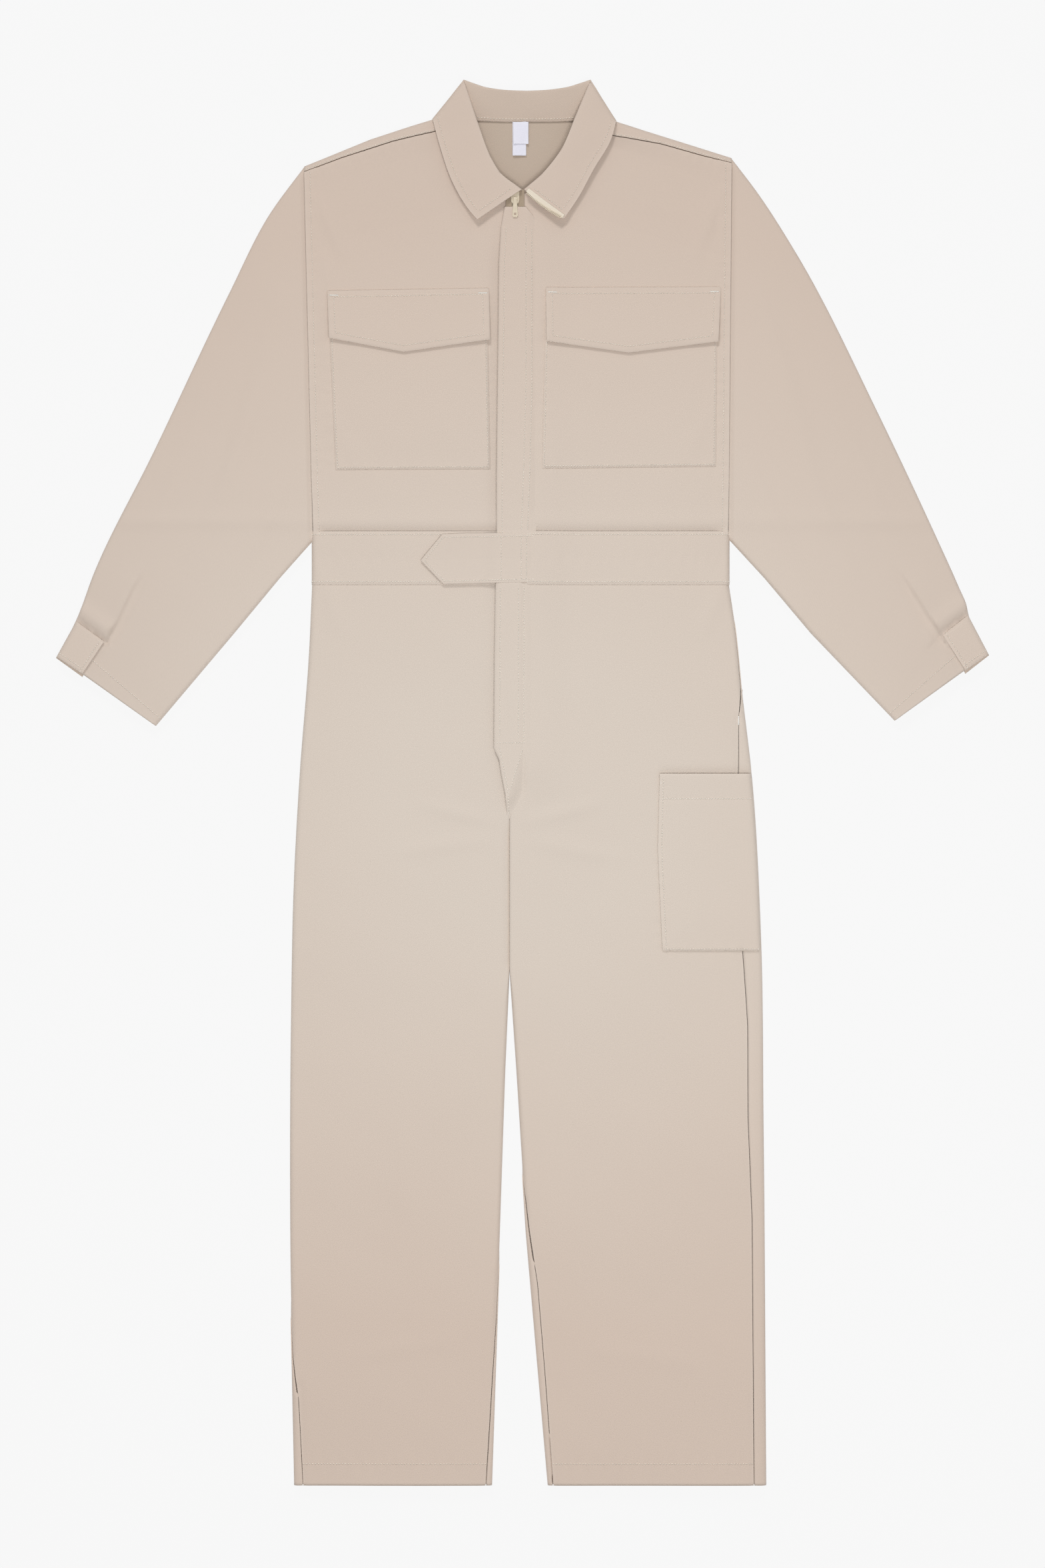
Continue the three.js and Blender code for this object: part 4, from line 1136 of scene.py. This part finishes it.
def toothRow(name, path, side, body, nodes, z):
    # One cast tooth, a stem and a rounder head, repeated along the tape's edge.
    count = int(pathLength(path) / zipper["pitch"])
    line = evenPath(path, count)
    way, plan = wayAlong(line), np.array(zipper["tooth"])
    cross = np.stack([-way[:, 1], way[:, 0]], axis=1) * side
    outline = line[:, None] + plan[None, :, :1] * cross[:, None] + plan[None, :, 1:] * way[:, None]
    faces = [raised(outline, z + half) for half in (-zipper["toothHalf"], zipper["toothHalf"])]
    points = np.concatenate(faces, axis=1)
    loop = [(i, (i + 1) % 8, 8 + (i + 1) % 8, 8 + i) for i in range(8)]
    start = 16 * np.arange(count)
    faces = (np.array(loop)[None] + start[:, None, None]).reshape(-1, 4).tolist()
    faces += (np.arange(8)[::-1][None] + start[:, None]).tolist()
    faces += (8 + np.arange(8)[None] + start[:, None]).tolist()
    mesh = newMesh(name, points, faces, enamel)
    turnedOut(mesh)
    made = addObject(name, mesh)
    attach(made, body)
    if nodes:
        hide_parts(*nodes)


def buildZip():
    # Each tape is a straight strip with a slow sine along it, narrower at its low end.
    middle = zipper["middle"]
    for side, out in (("right", -1), ("left", 1)):
        low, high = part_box("zip_tape_" + side)
        x0, x1, narrow = (middle + out * zipper[at] for at in ("tapeIn", "tapeOut", "tapeEnd"))
        y0, y1 = low.y / mm, high.y / mm
        plan = coons([(x0, y0), (narrow, y0)], [(x0, y1), (x1, y1)], 8, 200,
                     right=[(narrow, y0), (x1, y0 + zipper["narrowed"]), (x1, y1)])
        points = raised(plan, zipper["tapeZ"] + 0.15 * np.sin(plan[..., 1] / 23))
        tape = "zip_tape_" + side
        # the tapes carry painted shade: their greyish beige is darkened for the shadow around the slider
        sewCloth("zip_tape_weave_" + side, points, "garment", [tape], zipTapeAndShade, "zip_tape", thick=0.6)
        low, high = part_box("zip_teeth_" + side)
        x = middle + out * zipper["teeth"]
        toothRow("zip_teeth_cast_" + side, [(x, low.y / mm + 1), (x, high.y / mm - 1)], out, "garment",
                 ["zip_teeth_" + side], (low.z + high.z) / 2 / mm)
    softened("zip_slider", enamel, 0.35, "zip_slider")
    softened("pull_tab", enamel, 0.3, "pull_tab")
    softened("zip_bottom_stop", enamel, 0.3, "garment")
    softened("waist_snap_socket", steel, 0.2, "garment")
    softened("waist_snap_stud", steel, 0.2, "waist_tab")


collarTape = {"from": 3.5, "to": 1.5, "sag": 0.8, "out": 0.8, "in": 3.9, "lift": 0.9}


def buildCollarTape():
    # The open tape shows past the leaf's front edge, both its sides bowed as a sine.
    facts, tape = collar["left"], collarTape
    start, end = np.array(facts["roll"][-1]), np.array(facts["edge"][-1])
    way = (end - start) / np.linalg.norm(end - start)
    cross = np.array([-way[1], way[0]])
    edge = evenPath([start + way * tape["from"], end - way * tape["to"]], 40)
    sag = np.sin(np.linspace(0, math.pi, 40))[:, None] * tape["sag"]
    outer = edge - cross * (tape["out"] + 2.2 * sag)
    inner = edge + cross * (tape["in"] - 0.5 * sag)
    plan, _ = ruled(outer, inner, 8)
    height = leafHeight(facts, inner[:, 0], inner[:, 1])[:, None] + tape["lift"]
    points = raised(plan, height + 0.2 * np.sin(plan[..., 0] / 5))
    body = "collar_leaf_left"
    sewCloth("collar_tape_weave", points, body, ["collar_zip_tape"], tapeWeave, "zip_tape", thick=0.6)
    toothRow("collar_teeth_cast", outer[2:-2] + cross * 1.4, -1, body, [], float(height.mean()) - 0.1)


buildZip()
buildCollarTape()
print("zip ready")

# Placket, fly and waist tab
covers = {
    "height": coverHeight - 0.7, "droop": 0.9, "lieShare": 0.35,
    "placket": {
        "rows": 190, "outer": -25.5, "sink": 3.6,
        "free": [(-19.5, 622), (-23.5, 600), (-25.5, 560), (-28, 330), (-28, 269)],
        "sewn": [(3.5, 622), (13, 611), (17, 596), (17, 330), (15, 269)],
        "stitches": [
            [(-17.5, 600), (-19.5, 560), (-22, 330), (-22, 269)],
            [(3.8, 606), (3.6, 420), (1.0, 330), (-1.2, 273)], [(10, 598), (10, 420), (7.6, 330), (5.4, 273)],
        ],
    },
    "fly": {
        "rows": 150, "outer": -31.0, "sink": 4.6,
        "free": [(-29, 217), (-30.3, 130), (-30.8, 37), (-25.2, 25), (-23, 10), (-18.7, -12.6), (-17.3, -32),
                 (-16.5, -38.5)],
        "sewn": [(14, 217), (14, 30), (4, -8), (-8, -36), (-11.5, -38.5)],
        "stitches": [
            [(-23.8, 212), (-24.6, 50)], [(-4.3, 212), (-4.6, 48)], [(1.6, 212), (1.4, 42)],
            [(-29, 43.6), (0.7, 43.6)], [(-24.8, 39), (-15.8, -7.6), (-14.6, -34)], [(0.4, 38), (-13.6, -8)],
        ],
    },
}


def merged(height, base, share):
    # Runs a cover into the cloth it is part of: share 1 is just under that cloth's face.
    return height * (1 - share) + (base - 0.5) * share


def placketTop(x, y):
    # Level over the zip, lower at its top end, with a slightly drooping free edge.
    facts = covers["placket"]
    height = covers["height"] - facts["sink"] * fade(y, 555, 609) + covers["lieShare"] * lie(x, y)
    height = height - covers["droop"] * fade(x - facts["outer"], 9, 0)
    return merged(height, frontTop(x, y), fade(x, 5, 17))


def flyTop(x, y):
    # Level over the zip, lower at its foot, with the same free edge, run into the leg where sewn.
    facts = covers["fly"]
    height = covers["height"] - facts["sink"] * fade(y, -14, -38)
    height = height - covers["droop"] * fade(x - facts["outer"], 9, 0) + covers["lieShare"] * lie(x, y)
    return merged(height, frontTop(x, y), fade(nearPath(facts["sewn"], x, y)[0], 18, 0))


def buildCover(name, top):
    # A patch between its free and its sewn edge at its own height, rounded at the free edge.
    free, sewn = covers[name]["free"], covers[name]["sewn"]
    plan = coons([free[-1], sewn[-1]], [free[0], sewn[0]], 30, covers[name]["rows"], free[::-1], sewn[::-1])
    points = raised(plan, top(plan[..., 0], plan[..., 1]) - drop(gapTo(free, plan), 0.9))
    sewCloth(name + "_cloth", points, name, [name], held="folded", thick=1.0, bevel=0.3)
    for row in covers[name]["stitches"]:
        stitchRow(name + "_stitches", row, lambda u, v: top(u, v) + stitch["lift"])
    sewRows(name + "_stitches", name)


tab = {
    "top": [(16, 270), (-60, 269.5), (-87, 268.5)], "low": [(16, 216.5), (-60, 215.5), (-86, 214.5)],
    "tip": (-110.4, 240), "stitchIn": 3.4, "crossStitches": (-23, -1.4, 4.3),
}


def tabTop(x, y):
    # Level over the zip, then down a slope on to the waistband, with a lightly lifted tip.
    height = covers["height"] + 0.5 - 2.6 * fade(x, -24, -46) + 0.4 * lie(x, y) + 0.4 * fade(x, -80, -112)
    return merged(height, frontTop(x, y) + waistband["lift"], fade(x, 2, 16))


def buildTab():
    # A patch whose far side is the two edges of its point, rounded down all round.
    top, low, tip = tab["top"], tab["low"], tab["tip"]
    plan = coons(low[::-1], top[::-1], 96, 44, left=[low[-1], tip, top[-1]])
    rim = [top[0], top[-1], tip, low[-1], low[0]]
    points = raised(plan, tabTop(plan[..., 0], plan[..., 1]) - drop(gapTo(rim, plan), 0.9))
    sewCloth("waist_tab_cloth", points, "waist_tab", ["waist_tab"], held="folded", thick=1.2, bevel=0.3)
    over = lambda u, v: tabTop(u, v) + stitch["lift"]
    stitchRow("tab_stitches", inset(rim, tab["stitchIn"]), over, pitch=2.9)
    for x in tab["crossStitches"]:
        stitchRow("tab_stitches", [(x, 266), (x, 220)], over)
    sewRows("tab_stitches", "waist_tab")


buildCover("placket", placketTop)
buildCover("fly", flyTop)
buildTab()
sewRows("body_stitches", "garment")
print("covers ready")
